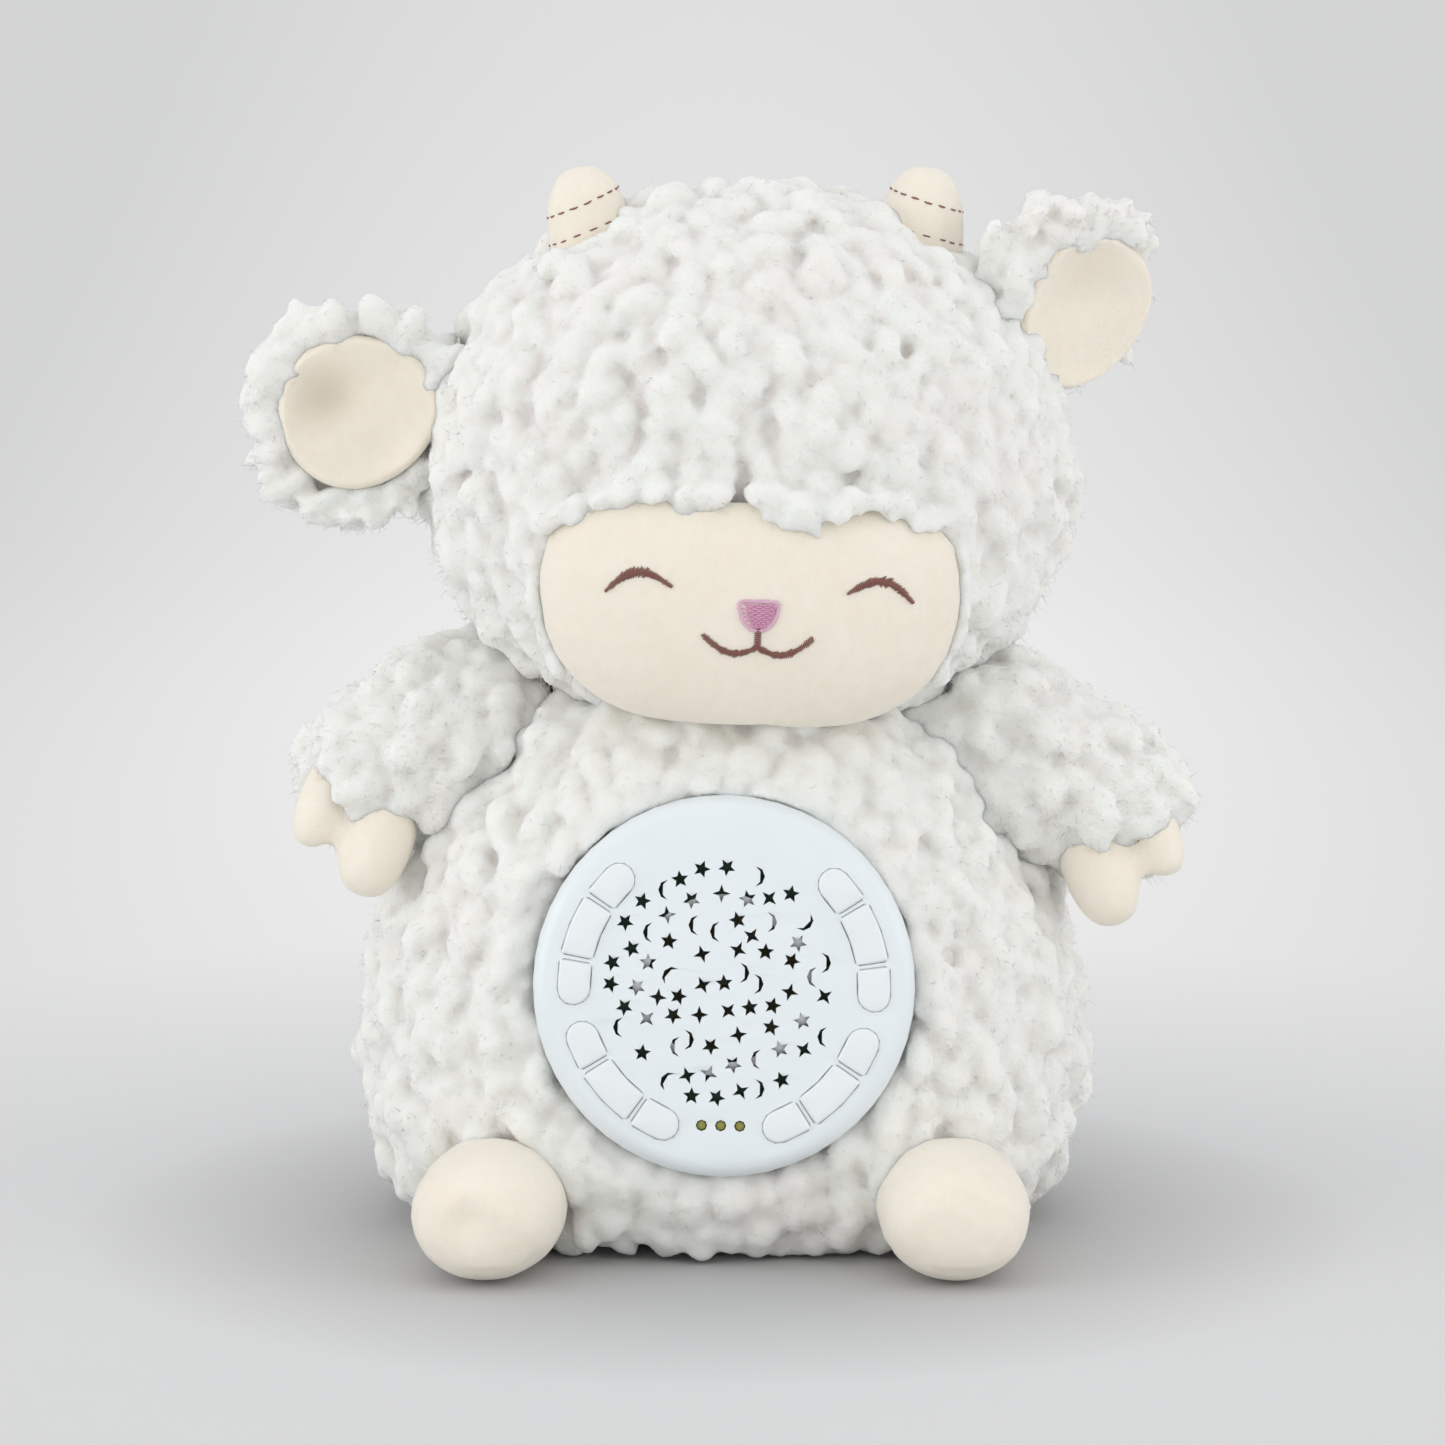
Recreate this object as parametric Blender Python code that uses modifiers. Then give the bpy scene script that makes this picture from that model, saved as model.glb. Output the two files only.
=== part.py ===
"""Plush lamb night light: sewn, stuffed parts round a moulded light and sound module.

Metres, +Z up. The face looks along -Y, +X is the viewer's right, and the origin is on the
floor under the middle of the body. Each object is one piece of the toy. Pieces that move
have their origin on their joint's axis.
"""

import math
from typing import NamedTuple

import bmesh
import bpy
from mathutils import Matrix, Vector

MM = 0.001
FULL_TURN = 2 * math.pi

# Fits and clearances
SEAM_GAP = 0.3 * MM
LIMB_GAP = 0.4 * MM
FIT_GAP = 0.3 * MM
CAP_GAP = 0.3 * MM
OVERRUN = 4.0 * MM
MERGE_SHARE = 0.0001
BASE_CUT = 0.5 * MM

# Body: a pear-shaped stuffed sack that sits on a flattened seat
BODY_HEIGHT = 156.0 * MM
BODY_HALF_WIDTH = 97.0 * MM
BODY_FRONT = 76.0 * MM
BODY_BACK = 72.0 * MM
BODY_SIDES = 14
BODY_SQUARENESS = 2.35
# Each row: height, half width, front depth and back depth
BODY_SHARES = (
    (-0.012, 0.62, 0.64, 0.62),
    (0.026, 0.89, 0.91, 0.88),
    (0.15, 0.975, 0.995, 0.975),
    (0.33, 1.0, 1.0, 1.0),
    (0.53, 0.95, 0.965, 0.97),
    (0.69, 0.83, 0.885, 0.87),
    (0.83, 0.66, 0.755, 0.74),
    (0.935, 0.48, 0.58, 0.57),
    (1.0, 0.26, 0.32, 0.32),
)

# Head: a broad stuffed ball, sewn on over the neck
HEAD_X = 7.0 * MM
NECK_DEPTH = 22.0 * MM
HEAD_BOTTOM = BODY_HEIGHT - NECK_DEPTH
HEAD_HEIGHT = 145.0 * MM
HEAD_HALF_WIDTH = 87.0 * MM
HEAD_FRONT = 64.0 * MM
HEAD_BACK = 62.0 * MM
HEAD_SIDES = 14
HEAD_SQUARENESS = 2.2
HEAD_SHARES = (
    (0.0, 0.32, 0.34, 0.34),
    (0.05, 0.55, 0.63, 0.63),
    (0.16, 0.79, 0.87, 0.85),
    (0.31, 0.97, 0.98, 0.97),
    (0.49, 1.0, 1.0, 1.0),
    (0.67, 0.935, 0.935, 0.945),
    (0.83, 0.77, 0.76, 0.78),
    (0.94, 0.51, 0.49, 0.51),
    (1.0, 0.23, 0.22, 0.22),
)

# Face: a smooth padded panel on the front of the head
FACE_RISE = 6.0 * MM
FACE_BOTTOM = HEAD_BOTTOM + FACE_RISE
FACE_HEIGHT = 68.0 * MM
FACE_HALF_WIDTH = 57.5 * MM
FACE_PROUD = 10.0 * MM
FACE_FRONT = HEAD_FRONT + FACE_PROUD
FACE_ROOT = 28.0 * MM
FACE_TILT = math.radians(2.4)
FACE_SIDES = 12
FACE_SQUARENESS = 2.5
# Each row: height, half width and how far the front swells from root to crown
FACE_SHARES = (
    (0.0, 0.42, 0.66),
    (0.07, 0.66, 0.78),
    (0.22, 0.9, 0.93),
    (0.5, 1.0, 1.0),
    (0.78, 0.97, 0.93),
    (0.94, 0.8, 0.8),
    (1.0, 0.5, 0.7),
)

# Embroidery: satin stitch pads that follow the face
FEATURE_SHIFT = 2.4 * MM
THREAD_PROUD = 1.0 * MM
STROKE_WIDTH = 1.7 * MM
EYE_SPACING = 62.8 * MM
EYE_WIDTH = 17.2 * MM
EYE_RISE = 4.4 * MM
EYE_HEIGHT = 39.0 * MM
EYE_TIP_SHARE = 0.45
EYE_TILT = math.radians(7.5)
EYE_STEPS = 8
NOSE_WIDTH = 10.2 * MM
NOSE_DEPTH = 6.8 * MM
NOSE_HEIGHT = 37.0 * MM
NOSE_ROUND = 1.6 * MM
NOSE_STEPS = 3
MOUTH_WIDTH = 28.4 * MM
MOUTH_DROP = 2.5 * MM
MOUTH_RISE = 2.7 * MM
MOUTH_STEPS = 6
STEM_LENGTH = 4.9 * MM

# Horns: two small stuffed cones
HORN_LENGTH = 37.0 * MM
HORN_RADIUS = 11.6 * MM
HORN_PROUD = 5.5 * MM
HORN_LEFT_SHARE = -0.523
HORN_RIGHT_SHARE = 0.546
HORN_SET_BACK = 2.0 * MM
HORN_LEFT_LEAN = math.radians(-11)
HORN_RIGHT_LEAN = math.radians(5)
HORN_SIDES = 8
HORN_SHARES = ((0.0, 0.92), (0.42, 1.0), (0.84, 0.74), (1.0, 0.3))

# Ears: padded flaps that flop about their roots
EAR_LENGTH = 51.0 * MM
EAR_HALF_WIDTH = 26.5 * MM
EAR_HALF_THICK = 7.5 * MM
EAR_SET_FORWARD = 3.0 * MM
# Each: how far out and how high on the head the ear's root lies
EAR_LEFT_SHARES = (-0.908, 0.641)
EAR_RIGHT_SHARES = (0.839, 0.628)
EAR_LEFT_AIM = math.radians(196)
EAR_RIGHT_AIM = math.radians(64)
EAR_LEFT_TWIST = math.radians(0)
EAR_RIGHT_TWIST = math.radians(34)
EAR_SWING = math.radians(20)
EAR_STOPS = 5
EAR_SIDES = 10
# Each row: distance from the root, half width and half thickness
EAR_SHARES = (
    (-0.1, 0.24, 0.6),
    (0.1, 0.5, 1.0),
    (0.38, 0.94, 1.0),
    (0.68, 1.0, 1.0),
    (0.9, 0.74, 0.9),
    (1.0, 0.34, 0.5),
)
LINING_START = 5.0 * MM
LINING_LENGTH = 41.5 * MM
LINING_HALF_WIDTH = 21.5 * MM
LINING_HALF_THICK = 5.5 * MM
LINING_PROUD = 2.6 * MM
LINING_SHARES = ((0.0, 0.56, 0.7), (0.5, 1.04, 1.0), (1.0, 0.56, 0.7))

# Arms: short stuffed stubs that swing up a little at the shoulder seam
ARM_LEFT_REACH = 53.0 * MM
ARM_RIGHT_REACH = 66.0 * MM
ARM_RADIUS = 26.0 * MM
SHOULDER_SHARE = 0.62887
SHOULDER_X = SHOULDER_SHARE * BODY_HALF_WIDTH
SHOULDER_Y = -2.0 * MM
SHOULDER_DROP = 23.0 * MM
SHOULDER_Z = BODY_HEIGHT - SHOULDER_DROP
ARM_LEFT_AIM = (-0.88, -0.42, -0.22)
ARM_RIGHT_AIM = (0.88, -0.28, -0.36)
ARM_RAISE = math.radians(20)
ARM_LOWER = math.radians(4)
ARM_STOPS = 4
ARM_SIDES = 10
ARM_SHARES = (
    (-0.42, 0.42),
    (-0.28, 0.82),
    (0.1, 1.02),
    (0.56, 0.87),
    (0.88, 0.63),
    (1.0, 0.36),
)

# Hands: cloven hooves of two stuffed lobes
HAND_PLACE_SHARE = 0.7
HAND_FORWARD = 5.0 * MM
LOBE_SIDES = 8
LOBE_LENGTH = 34.0 * MM
INNER_LOBE_RADIUS = 11.6 * MM
OUTER_LOBE_RADIUS = 9.0 * MM
LOBE_SPREAD = 7.2 * MM
OUTER_LOBE_LIFT = 6.5 * MM
LOBE_SPLAY = math.radians(3)
HAND_LEFT_AIM = (-0.34, -0.42, -0.84)
HAND_RIGHT_AIM = (0.36, -0.44, -0.82)
LOBE_SHARES = ((0.0, 0.62), (0.38, 1.0), (0.84, 0.84), (1.0, 0.36))

# Feet: round stuffed pads that stick out in front
FOOT_BACK_SHARE = 0.4737
FOOT_BACK = FOOT_BACK_SHARE * BODY_FRONT
FOOT_LENGTH = 66.0 * MM
FOOT_HALF_WIDTH = 21.5 * MM
FOOT_HALF_HEIGHT = 18.6 * MM
FOOT_SOLE_SHARE = 0.95
FOOT_LEFT_SHARE = -0.66
FOOT_RIGHT_SHARE = 0.639
FOOT_LEFT_SPLAY = math.radians(7)
FOOT_RIGHT_SPLAY = math.radians(4)
FOOT_SIDES = 10
FOOT_SHARES = (
    (0.0, 0.78),
    (0.34, 0.94),
    (0.72, 1.02),
    (0.93, 0.8),
    (1.0, 0.44),
)

# Rear closure: two tapes that press together in a slit up the back
SLIT_WIDTH = 4.4 * MM
SLIT_DEPTH = 15.0 * MM
SLIT_LENGTH = 78.0 * MM
SLIT_CENTRE = 66.0 * MM
TAPE_INSET = 1.0 * MM

# Module: everything is laid out from the middle of the front plate's face
MODULE_SIDE = 0.4 * MM
MODULE_FRONT_SHARE = 0.97368
MODULE_HEIGHT_SHARE = 0.48718
MODULE_PLACE = (
    MODULE_SIDE, -MODULE_FRONT_SHARE * BODY_FRONT, MODULE_HEIGHT_SHARE * BODY_HEIGHT
)
MODULE_TILT = math.radians(8)
MODULE_ROLL = math.radians(-1.4)

# Front cover: a flat plate in a rounded rim
COVER_RADIUS = 50.0 * MM
COVER_WALL = 2.0 * MM
COVER_DEPTH = 8.0 * MM
RIM_ROUND = 4.4 * MM
RIM_STEPS = 4
ROUND_STEPS = 48

# Grille of stars and moons in the plate
GRILLE_SHARE = 0.624
GRILLE_RADIUS = GRILLE_SHARE * COVER_RADIUS
STAR_SHARE = 0.077
STAR_RADIUS = STAR_SHARE * GRILLE_RADIUS
STAR_POINTS = 5
STAR_WAIST_SHARE = 0.45
CROSS_SHARE = 0.0785
CROSS_RADIUS = CROSS_SHARE * GRILLE_RADIUS
CROSS_POINTS = 4
CROSS_WAIST_SHARE = 0.36
# The moon's height, the bulge of its back and its thickness
MOON_SHARES = (0.17, 0.08, 0.0337)
MOON_STEPS = 3
MARK_TURN_SHARE = 0.137
STAR_PLACE_SHARES = (
    (-0.21, 0.98), (0.0, 1.0), (-0.39, 0.89), (-0.70, 0.70), (-0.29, 0.72), (0.18, 0.74),
    (0.54, 0.79), (-0.84, 0.52), (0.10, 0.56), (-0.47, 0.37), (0.61, 0.38), (-0.78, 0.30),
    (0.34, 0.30), (0.56, 0.23), (-0.94, 0.18), (-0.64, 0.19), (-0.95, 0.0), (-0.73, -0.02),
    (0.0, 0.03), (-0.38, -0.09), (-0.83, -0.19), (0.22, -0.17), (0.41, -0.15), (-0.42, -0.25),
    (0.66, -0.27), (0.40, -0.33), (-0.10, -0.50), (0.48, -0.51), (-0.67, -0.57), (0.09, -0.65),
    (0.50, -0.77), (-0.25, -0.92), (-0.04, -0.93),
)
CROSS_PLACE_SHARES = (
    (-0.04, 0.78), (0.36, 0.75), (-0.49, 0.59), (0.22, 0.43), (-0.19, 0.27), (0.11, 0.31),
    (-0.18, 0.01), (0.55, -0.03), (0.84, -0.06), (-0.55, -0.10), (-0.64, -0.28), (-0.20, -0.24),
    (0.04, -0.20), (0.13, -0.40), (0.68, -0.51), (-0.29, -0.75), (-0.11, -0.73), (0.16, -0.87),
)
# Each row: place across, place up and the part of a full turn that the moon is turned
MOON_PLACE_SHARES = (
    (0.28, 0.93, 0.5), (-0.53, 0.80, 0.0), (-0.27, 0.51, 0.0), (-0.09, 0.46, 0.0),
    (0.39, 0.55, 0.5), (0.68, 0.54, 0.38), (-0.65, 0.44, 0.0), (0.85, 0.22, 0.5),
    (-0.47, 0.10, -0.11), (0.17, 0.12, 0.5), (0.73, 0.10, 0.0), (0.29, 0.03, 0.5),
    (-0.88, -0.36, 0.0), (0.83, -0.40, 0.0), (-0.40, -0.51, 0.0), (-0.28, -0.45, 0.5),
    (0.28, -0.60, 0.0), (-0.47, -0.79, -0.08), (0.32, -0.85, 0.5),
)

# Button caps in four arcs of three
CAP_CIRCLE_SHARE = 0.784
CAP_CIRCLE = CAP_CIRCLE_SHARE * COVER_RADIUS
CAP_WIDTH_SHARE = 0.166
CAP_WIDTH = CAP_WIDTH_SHARE * COVER_RADIUS
MIDDLE_CAP_SHARE = 0.29
MIDDLE_CAP_LENGTH = MIDDLE_CAP_SHARE * COVER_RADIUS
END_CAP_SHARE = 0.224
END_CAP_LENGTH = END_CAP_SHARE * COVER_RADIUS
CAP_SPACING_GAP = 1.5 * MM
CAP_CORNER = 0.8 * MM
CAP_END_STEPS = 6
CAP_PROUD = 0.9 * MM
CAP_SOFT_EDGE = 0.55 * MM
CAP_LIP = 0.6 * MM
CAP_LIP_DEPTH = 1.0 * MM
CAP_TRAVEL = 0.8 * MM
STEM_HALF_LENGTH = 1.6 * MM
UPPER_ARC = math.radians(158.9)
LOWER_ARC = math.radians(224.2)

# Indicator lights under the grille
INDICATOR_DROP_SHARE = 0.726
INDICATOR_DROP = INDICATOR_DROP_SHARE * COVER_RADIUS
INDICATOR_PITCH = 5.0 * MM
INDICATOR_HOLE = 1.5 * MM
INDICATOR_STEPS = 8
INDICATOR_FOOT = 1.7 * MM
INDICATOR_FOOT_HEIGHT = 1.0 * MM
INDICATOR_SET_DOWN = 0.35 * MM
INDICATOR_DOME = 0.6 * MM

# Screw posts, board and switches
POST_PLACE_SHARES = ((-0.3, 0.74), (0.3, 0.74), (0.0, -0.83))
POST_PLACES = [(u * COVER_RADIUS, v * COVER_RADIUS) for u, v in POST_PLACE_SHARES]
POST_RADIUS = 2.6 * MM
POST_STEPS = 10
BOARD_FACE = 8.2 * MM
BOARD_THICK = 1.6 * MM
BOARD_STEPS = 32
SWITCH_HEIGHT = 2.4 * MM
SWITCH_SIDE = 4.5 * MM
SWITCH_SINK = 0.2 * MM
LAMP_COUNT = 6
LAMP_CIRCLE_SHARE = 0.56
LAMP_CIRCLE = LAMP_CIRCLE_SHARE * COVER_RADIUS
LAMP_SIDE = 3.5 * MM
LAMP_HEIGHT = 1.2 * MM

# Rear housing
HOUSING_RADIUS_SHARE = 0.924
HOUSING_RADIUS = HOUSING_RADIUS_SHARE * COVER_RADIUS
HOUSING_WALL = 1.8 * MM
HOUSING_ROUND = 4.0 * MM
BOSS_RADIUS = 3.6 * MM
POCKET_GAP = 0.7 * MM
POCKET_STEPS = 40

# Screws that close the module from behind
SCREW_RADIUS = 1.15 * MM
SCREW_LENGTH = 13.0 * MM
SCREW_HEAD_RADIUS = 2.2 * MM
SCREW_HEAD_HEIGHT = 1.5 * MM
SCREW_TIP = 5.2 * MM

# Speaker behind the grille
SPEAKER_RADIUS_SHARE = 0.48
SPEAKER_RADIUS = SPEAKER_RADIUS_SHARE * COVER_RADIUS
SPEAKER_HOLE_GAP = 0.6 * MM
SPEAKER_FLANGE = 1.0 * MM
SPEAKER_SEAT_WIDTH = 2.2 * MM
SPEAKER_DEPTH = 10.0 * MM
SPEAKER_NECK_SHARE = 0.5
SPEAKER_NECK = SPEAKER_NECK_SHARE * SPEAKER_RADIUS
SPEAKER_WALL = 0.9 * MM
CONE_DROP = 4.4 * MM
CONE_WALL = 0.6 * MM
DUST_CAP_SHARE = 0.3125
DUST_CAP_RADIUS = DUST_CAP_SHARE * SPEAKER_RADIUS
DUST_CAP_RISE = 2.2 * MM
DUST_SHOULDER_SHARE = 0.75
ROLL_SHARE = 0.82
CREST_SHARE = 0.93
MAGNET_SHARE = 0.4583
MAGNET_RADIUS = MAGNET_SHARE * SPEAKER_RADIUS
MAGNET_HEIGHT = 4.6 * MM

# Battery and charging socket
BATTERY_LENGTH_SHARE = 1.0
BATTERY_LENGTH = BATTERY_LENGTH_SHARE * COVER_RADIUS
BATTERY_WIDTH_SHARE = 0.62
BATTERY_WIDTH = BATTERY_WIDTH_SHARE * COVER_RADIUS
BATTERY_HEIGHT = 7.4 * MM
BATTERY_HEADROOM = 1.7 * MM
# The housing is as deep as the stack from the plate's face to its floor
HOUSING_DEPTH = (
    BOARD_FACE + SPEAKER_DEPTH + MAGNET_HEIGHT + BATTERY_HEADROOM + BATTERY_HEIGHT + FIT_GAP
    + HOUSING_WALL
)
BATTERY_ROUND = 2.2 * MM
SOCKET_PLACE_SHARES = (0.5, 0.47)
SOCKET_WIDTH = 9.0 * MM
SOCKET_HEIGHT = 3.2 * MM
SOCKET_FLANGE = 1.6 * MM
SOCKET_FLANGE_THICK = 1.2 * MM
SOCKET_MOUTH_WALL = 0.45 * MM
SOCKET_MOUTH_DEPTH = 1.0 * MM


class Finish(NamedTuple):
    """Colour, roughness and metal share of one material."""

    name: str
    colour: tuple
    roughness: float
    metal: float = 0.0


FLEECE = Finish("fleece", (0.86, 0.85, 0.82), 0.95)
VELBOA = Finish("velboa", (0.91, 0.84, 0.72), 0.85)
THREAD = Finish("brown_thread", (0.16, 0.06, 0.045), 0.6)
PINK_THREAD = Finish("pink_thread", (0.75, 0.36, 0.55), 0.55)
TAPE = Finish("closure_tape", (0.85, 0.84, 0.8), 0.9)
WHITE_PLASTIC = Finish("white_plastic", (0.86, 0.9, 0.93), 0.35)
CAP_PLASTIC = Finish("cap_plastic", (0.88, 0.91, 0.92), 0.4)
LAMP_LENS = Finish("lamp_lens", (0.42, 0.40, 0.09), 0.3)
BOARD_GREEN = Finish("board", (0.04, 0.16, 0.09), 0.5)
STEEL = Finish("steel", (0.55, 0.56, 0.58), 0.35, 1.0)
MYLAR = Finish("mylar", (0.19, 0.17, 0.11), 0.35)
FERRITE = Finish("ferrite", (0.08, 0.08, 0.09), 0.6)
FOIL = Finish("battery_foil", (0.62, 0.64, 0.67), 0.4, 0.6)


def clear_scene():
    """Empties the file that the script runs in."""
    for item in list(bpy.data.objects):
        bpy.data.objects.remove(item, do_unlink=True)


def make_collection(name):
    """A new collection under the scene's own."""
    group = bpy.data.collections.new(name)
    bpy.context.scene.collection.children.link(group)
    return group


clear_scene()
PARTS = make_collection("plush_lamb_night_light")
CUTTERS = make_collection("cutters")
MATERIALS = {}


def material(finish):
    """The Principled material of a finish, made once."""
    if finish.name not in MATERIALS:
        made = bpy.data.materials.new(finish.name)
        made.use_nodes = True
        shader = made.node_tree.nodes["Principled BSDF"]
        shader.inputs["Base Color"].default_value = (*finish.colour, 1.0)
        shader.inputs["Roughness"].default_value = finish.roughness
        shader.inputs["Metallic"].default_value = finish.metal
        MATERIALS[finish.name] = made
    return MATERIALS[finish.name]


def part(name, mesh, finish, place=None):
    """A visible piece."""
    made = bpy.data.objects.new(name, mesh)
    made.matrix_world = place or Matrix.Identity(4)
    if not mesh.materials:
        mesh.materials.append(material(finish))
    PARTS.objects.link(made)
    return made


def cutter(name, mesh, place=None):
    """A hidden piece that only shapes others."""
    made = bpy.data.objects.new(name, mesh)
    made.matrix_world = place or Matrix.Identity(4)
    made.hide_render = True
    made.display_type = "WIRE"
    CUTTERS.objects.link(made)
    return made


def combine(target, other, operation="DIFFERENCE", solver="EXACT"):
    """Cuts, joins or intersects target with another object."""
    step = target.modifiers.new(operation.lower(), "BOOLEAN")
    step.operation = operation
    step.solver = solver
    step.object = other


def smooth(mesh, angle=math.radians(40)):
    """Rounded shading with edges kept where faces meet steeply."""
    mesh.shade_smooth()
    mesh.set_sharp_from_angle(angle=angle)


def skin(name, rings):
    """A closed mesh through rings of points with equal counts, its two ends filled."""
    build = bmesh.new()
    rows = [[build.verts.new(point) for point in ring] for ring in rings]
    count = len(rows[0])
    for low, high in zip(rows, rows[1:]):
        for i in range(count):
            j = (i + 1) % count
            build.faces.new((low[i], low[j], high[j], high[i]))
    build.faces.new(rows[0])
    build.faces.new(rows[-1])
    bmesh.ops.recalc_face_normals(build, faces=build.faces)
    mesh = bpy.data.meshes.new(name)
    build.to_mesh(mesh)
    build.free()
    return mesh


def oval(centre, across, along, sides, squareness=2.0):
    """A ring of points: an ellipse with half axes across and along, squarer above power 2."""
    swell = 1 / math.cos(math.pi / sides)
    ring = []
    for i in range(sides):
        angle = FULL_TURN * i / sides
        c, s = math.cos(angle), math.sin(angle)
        u = math.copysign(abs(c) ** (2 / squareness), c) * swell
        v = math.copysign(abs(s) ** (2 / squareness), s) * swell
        ring.append(centre + across * u + along * v)
    return ring


def soften(item):
    """One level of subdivision, the same in a view and a render."""
    step = item.modifiers.new("subdivide", "SUBSURF")
    step.levels = 1
    step.render_levels = 1


def swollen(item, amount, place=None):
    """A hidden copy of a soft form, its surface moved out by amount."""
    copy = cutter(item.name + "_clearance", item.data, place or item.matrix_world.copy())
    soften(copy)
    step = copy.modifiers.new("swell", "DISPLACE")
    step.strength = amount
    step.mid_level = 0
    return copy


def soft_part(name, rings, finish, place=None):
    """A stuffed piece from a coarse cage of rings."""
    made = part(name, skin(name, rings), finish, place)
    soften(made)
    smooth(made.data, math.pi)
    return made


def box(name, low, high, place=None):
    """A hidden block between two corners."""
    build = bmesh.new()
    bmesh.ops.create_cube(build, size=1)
    size = [high[k] - low[k] for k in range(3)]
    middle = [(high[k] + low[k]) / 2 for k in range(3)]
    bmesh.ops.scale(build, vec=size, verts=build.verts)
    bmesh.ops.translate(build, vec=middle, verts=build.verts)
    mesh = bpy.data.meshes.new(name)
    build.to_mesh(mesh)
    build.free()
    return cutter(name, mesh, place)


def standing_form(name, rows, height, low, centre_x, sides, squareness, finish):
    """A stuffed piece from level ovals: rows of height, half width, front and back."""
    rings = []
    for rise, half_width, front, back in rows:
        centre = Vector((centre_x, (back - front) / 2, low + rise * height))
        across = Vector((half_width, 0, 0))
        along = Vector((0, (front + back) / 2, 0))
        rings.append(oval(centre, across, along, sides, squareness))
    return soft_part(name, rings, finish)


def limb(name, rows, half_width, half_thick, sides, finish, place):
    """A stuffed piece along its own X: rows of distance, width share and thickness share."""
    rings = []
    for distance, width, thick in rows:
        across = Vector((0, half_thick * thick, 0))
        along = Vector((0, 0, half_width * width))
        rings.append(oval(Vector((distance, 0, 0)), across, along, sides))
    return soft_part(name, rings, finish, place)


def aimed(origin, aim, upright=(0, 0, 1)):
    """A frame at origin whose X looks along aim and whose Z stays near upright."""
    x = Vector(aim).normalized()
    y = Vector(upright).cross(x).normalized()
    z = x.cross(y)
    turn = Matrix((x, y, z)).transposed().to_4x4()
    return Matrix.Translation(origin) @ turn


def swept_room(name, items, pivot, first, last, stops):
    """The hidden convex room that items swing through about the Y axis through pivot."""
    there = Matrix.Translation(pivot)
    graph = bpy.context.evaluated_depsgraph_get()
    build = bmesh.new()
    for item in items:
        points = [vert.co.copy() for vert in item.evaluated_get(graph).data.vertices]
        for stop in range(stops):
            angle = first + (last - first) * stop / (stops - 1)
            turn = there @ Matrix.Rotation(angle, 4, "Y") @ there.inverted()
            for point in points:
                build.verts.new(turn @ item.matrix_world @ point)
    hull = bmesh.ops.convex_hull(build, input=build.verts)
    inside = hull["geom_interior"] + hull["geom_unused"]
    spare = {vert for vert in inside if isinstance(vert, bmesh.types.BMVert)}
    bmesh.ops.delete(build, geom=list(spare), context="VERTS")
    bmesh.ops.recalc_face_normals(build, faces=build.faces)
    mesh = bpy.data.meshes.new(name)
    build.to_mesh(mesh)
    build.free()
    room = cutter(name, mesh)
    step = room.modifiers.new("swell", "DISPLACE")
    step.strength = LIMB_GAP
    step.mid_level = 0
    return room


def outline_mesh(name, loops, thickness):
    """A flat plate on the XY plane, centred on it, from closed loops of points."""
    curve = bpy.data.curves.new(name, "CURVE")
    curve.dimensions = "2D"
    curve.fill_mode = "BOTH"
    curve.extrude = thickness / 2
    for loop in loops:
        spline = curve.splines.new("POLY")
        spline.points.add(len(loop) - 1)
        for point, (x, y) in zip(spline.points, loop):
            point.co = (x, y, 0, 1)
        spline.use_cyclic_u = True
    guide = bpy.data.objects.new(name, curve)
    CUTTERS.objects.link(guide)
    bpy.context.view_layer.update()
    graph = bpy.context.evaluated_depsgraph_get()
    mesh = bpy.data.meshes.new_from_object(guide.evaluated_get(graph))
    bpy.data.objects.remove(guide, do_unlink=True)
    build = bmesh.new()
    build.from_mesh(mesh)
    bmesh.ops.remove_doubles(build, verts=build.verts, dist=OVERRUN * MERGE_SHARE)
    bmesh.ops.recalc_face_normals(build, faces=build.faces)
    build.to_mesh(mesh)
    build.free()
    mesh.name = name
    return mesh


def circle(radius, steps, centre=(0, 0)):
    """Points round a circle."""
    angles = [FULL_TURN * i / steps for i in range(steps)]
    return [(centre[0] + radius * math.cos(a), centre[1] + radius * math.sin(a)) for a in angles]


def turned(name, profile, steps, finish=None, place=None):
    """A turned piece: the profile's outer side runs from top to bottom. No finish: hidden."""
    build = bmesh.new()
    closed = profile[0] == profile[-1]
    points = profile[:-1] if closed else profile
    verts = [build.verts.new((radius, 0, height)) for radius, height in points]
    for first, second in zip(verts, verts[1:] + verts[:1] if closed else verts[1:]):
        build.edges.new((first, second))
    mesh = bpy.data.meshes.new(name)
    build.to_mesh(mesh)
    build.free()
    made = part(name, mesh, finish, place) if finish else cutter(name, mesh, place)
    step = made.modifiers.new("turn", "SCREW")
    step.steps = steps
    step.render_steps = steps
    step.use_merge_vertices = True
    step.merge_threshold = OVERRUN * MERGE_SHARE
    step.use_smooth_shade = True
    return made


def rod(name, radius, low, high, steps, finish=None, place=None):
    """A turned cylinder between two heights."""
    profile = [(0, high), (radius, high), (radius, low), (0, low)]
    return turned(name, profile, steps, finish, place)


def shifted(place, x, y, z=0.0):
    """A frame moved in its own axes."""
    return place @ Matrix.Translation((x, y, z))


# Stuffed body and head


def make_body():
    """The sitting body, before its pocket and sockets are cut."""
    rows = [
        (rise, width * BODY_HALF_WIDTH, front * BODY_FRONT, back * BODY_BACK)
        for rise, width, front, back in BODY_SHARES
    ]
    return standing_form("body", rows, BODY_HEIGHT, 0, 0, BODY_SIDES, BODY_SQUARENESS, FLEECE)


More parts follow.
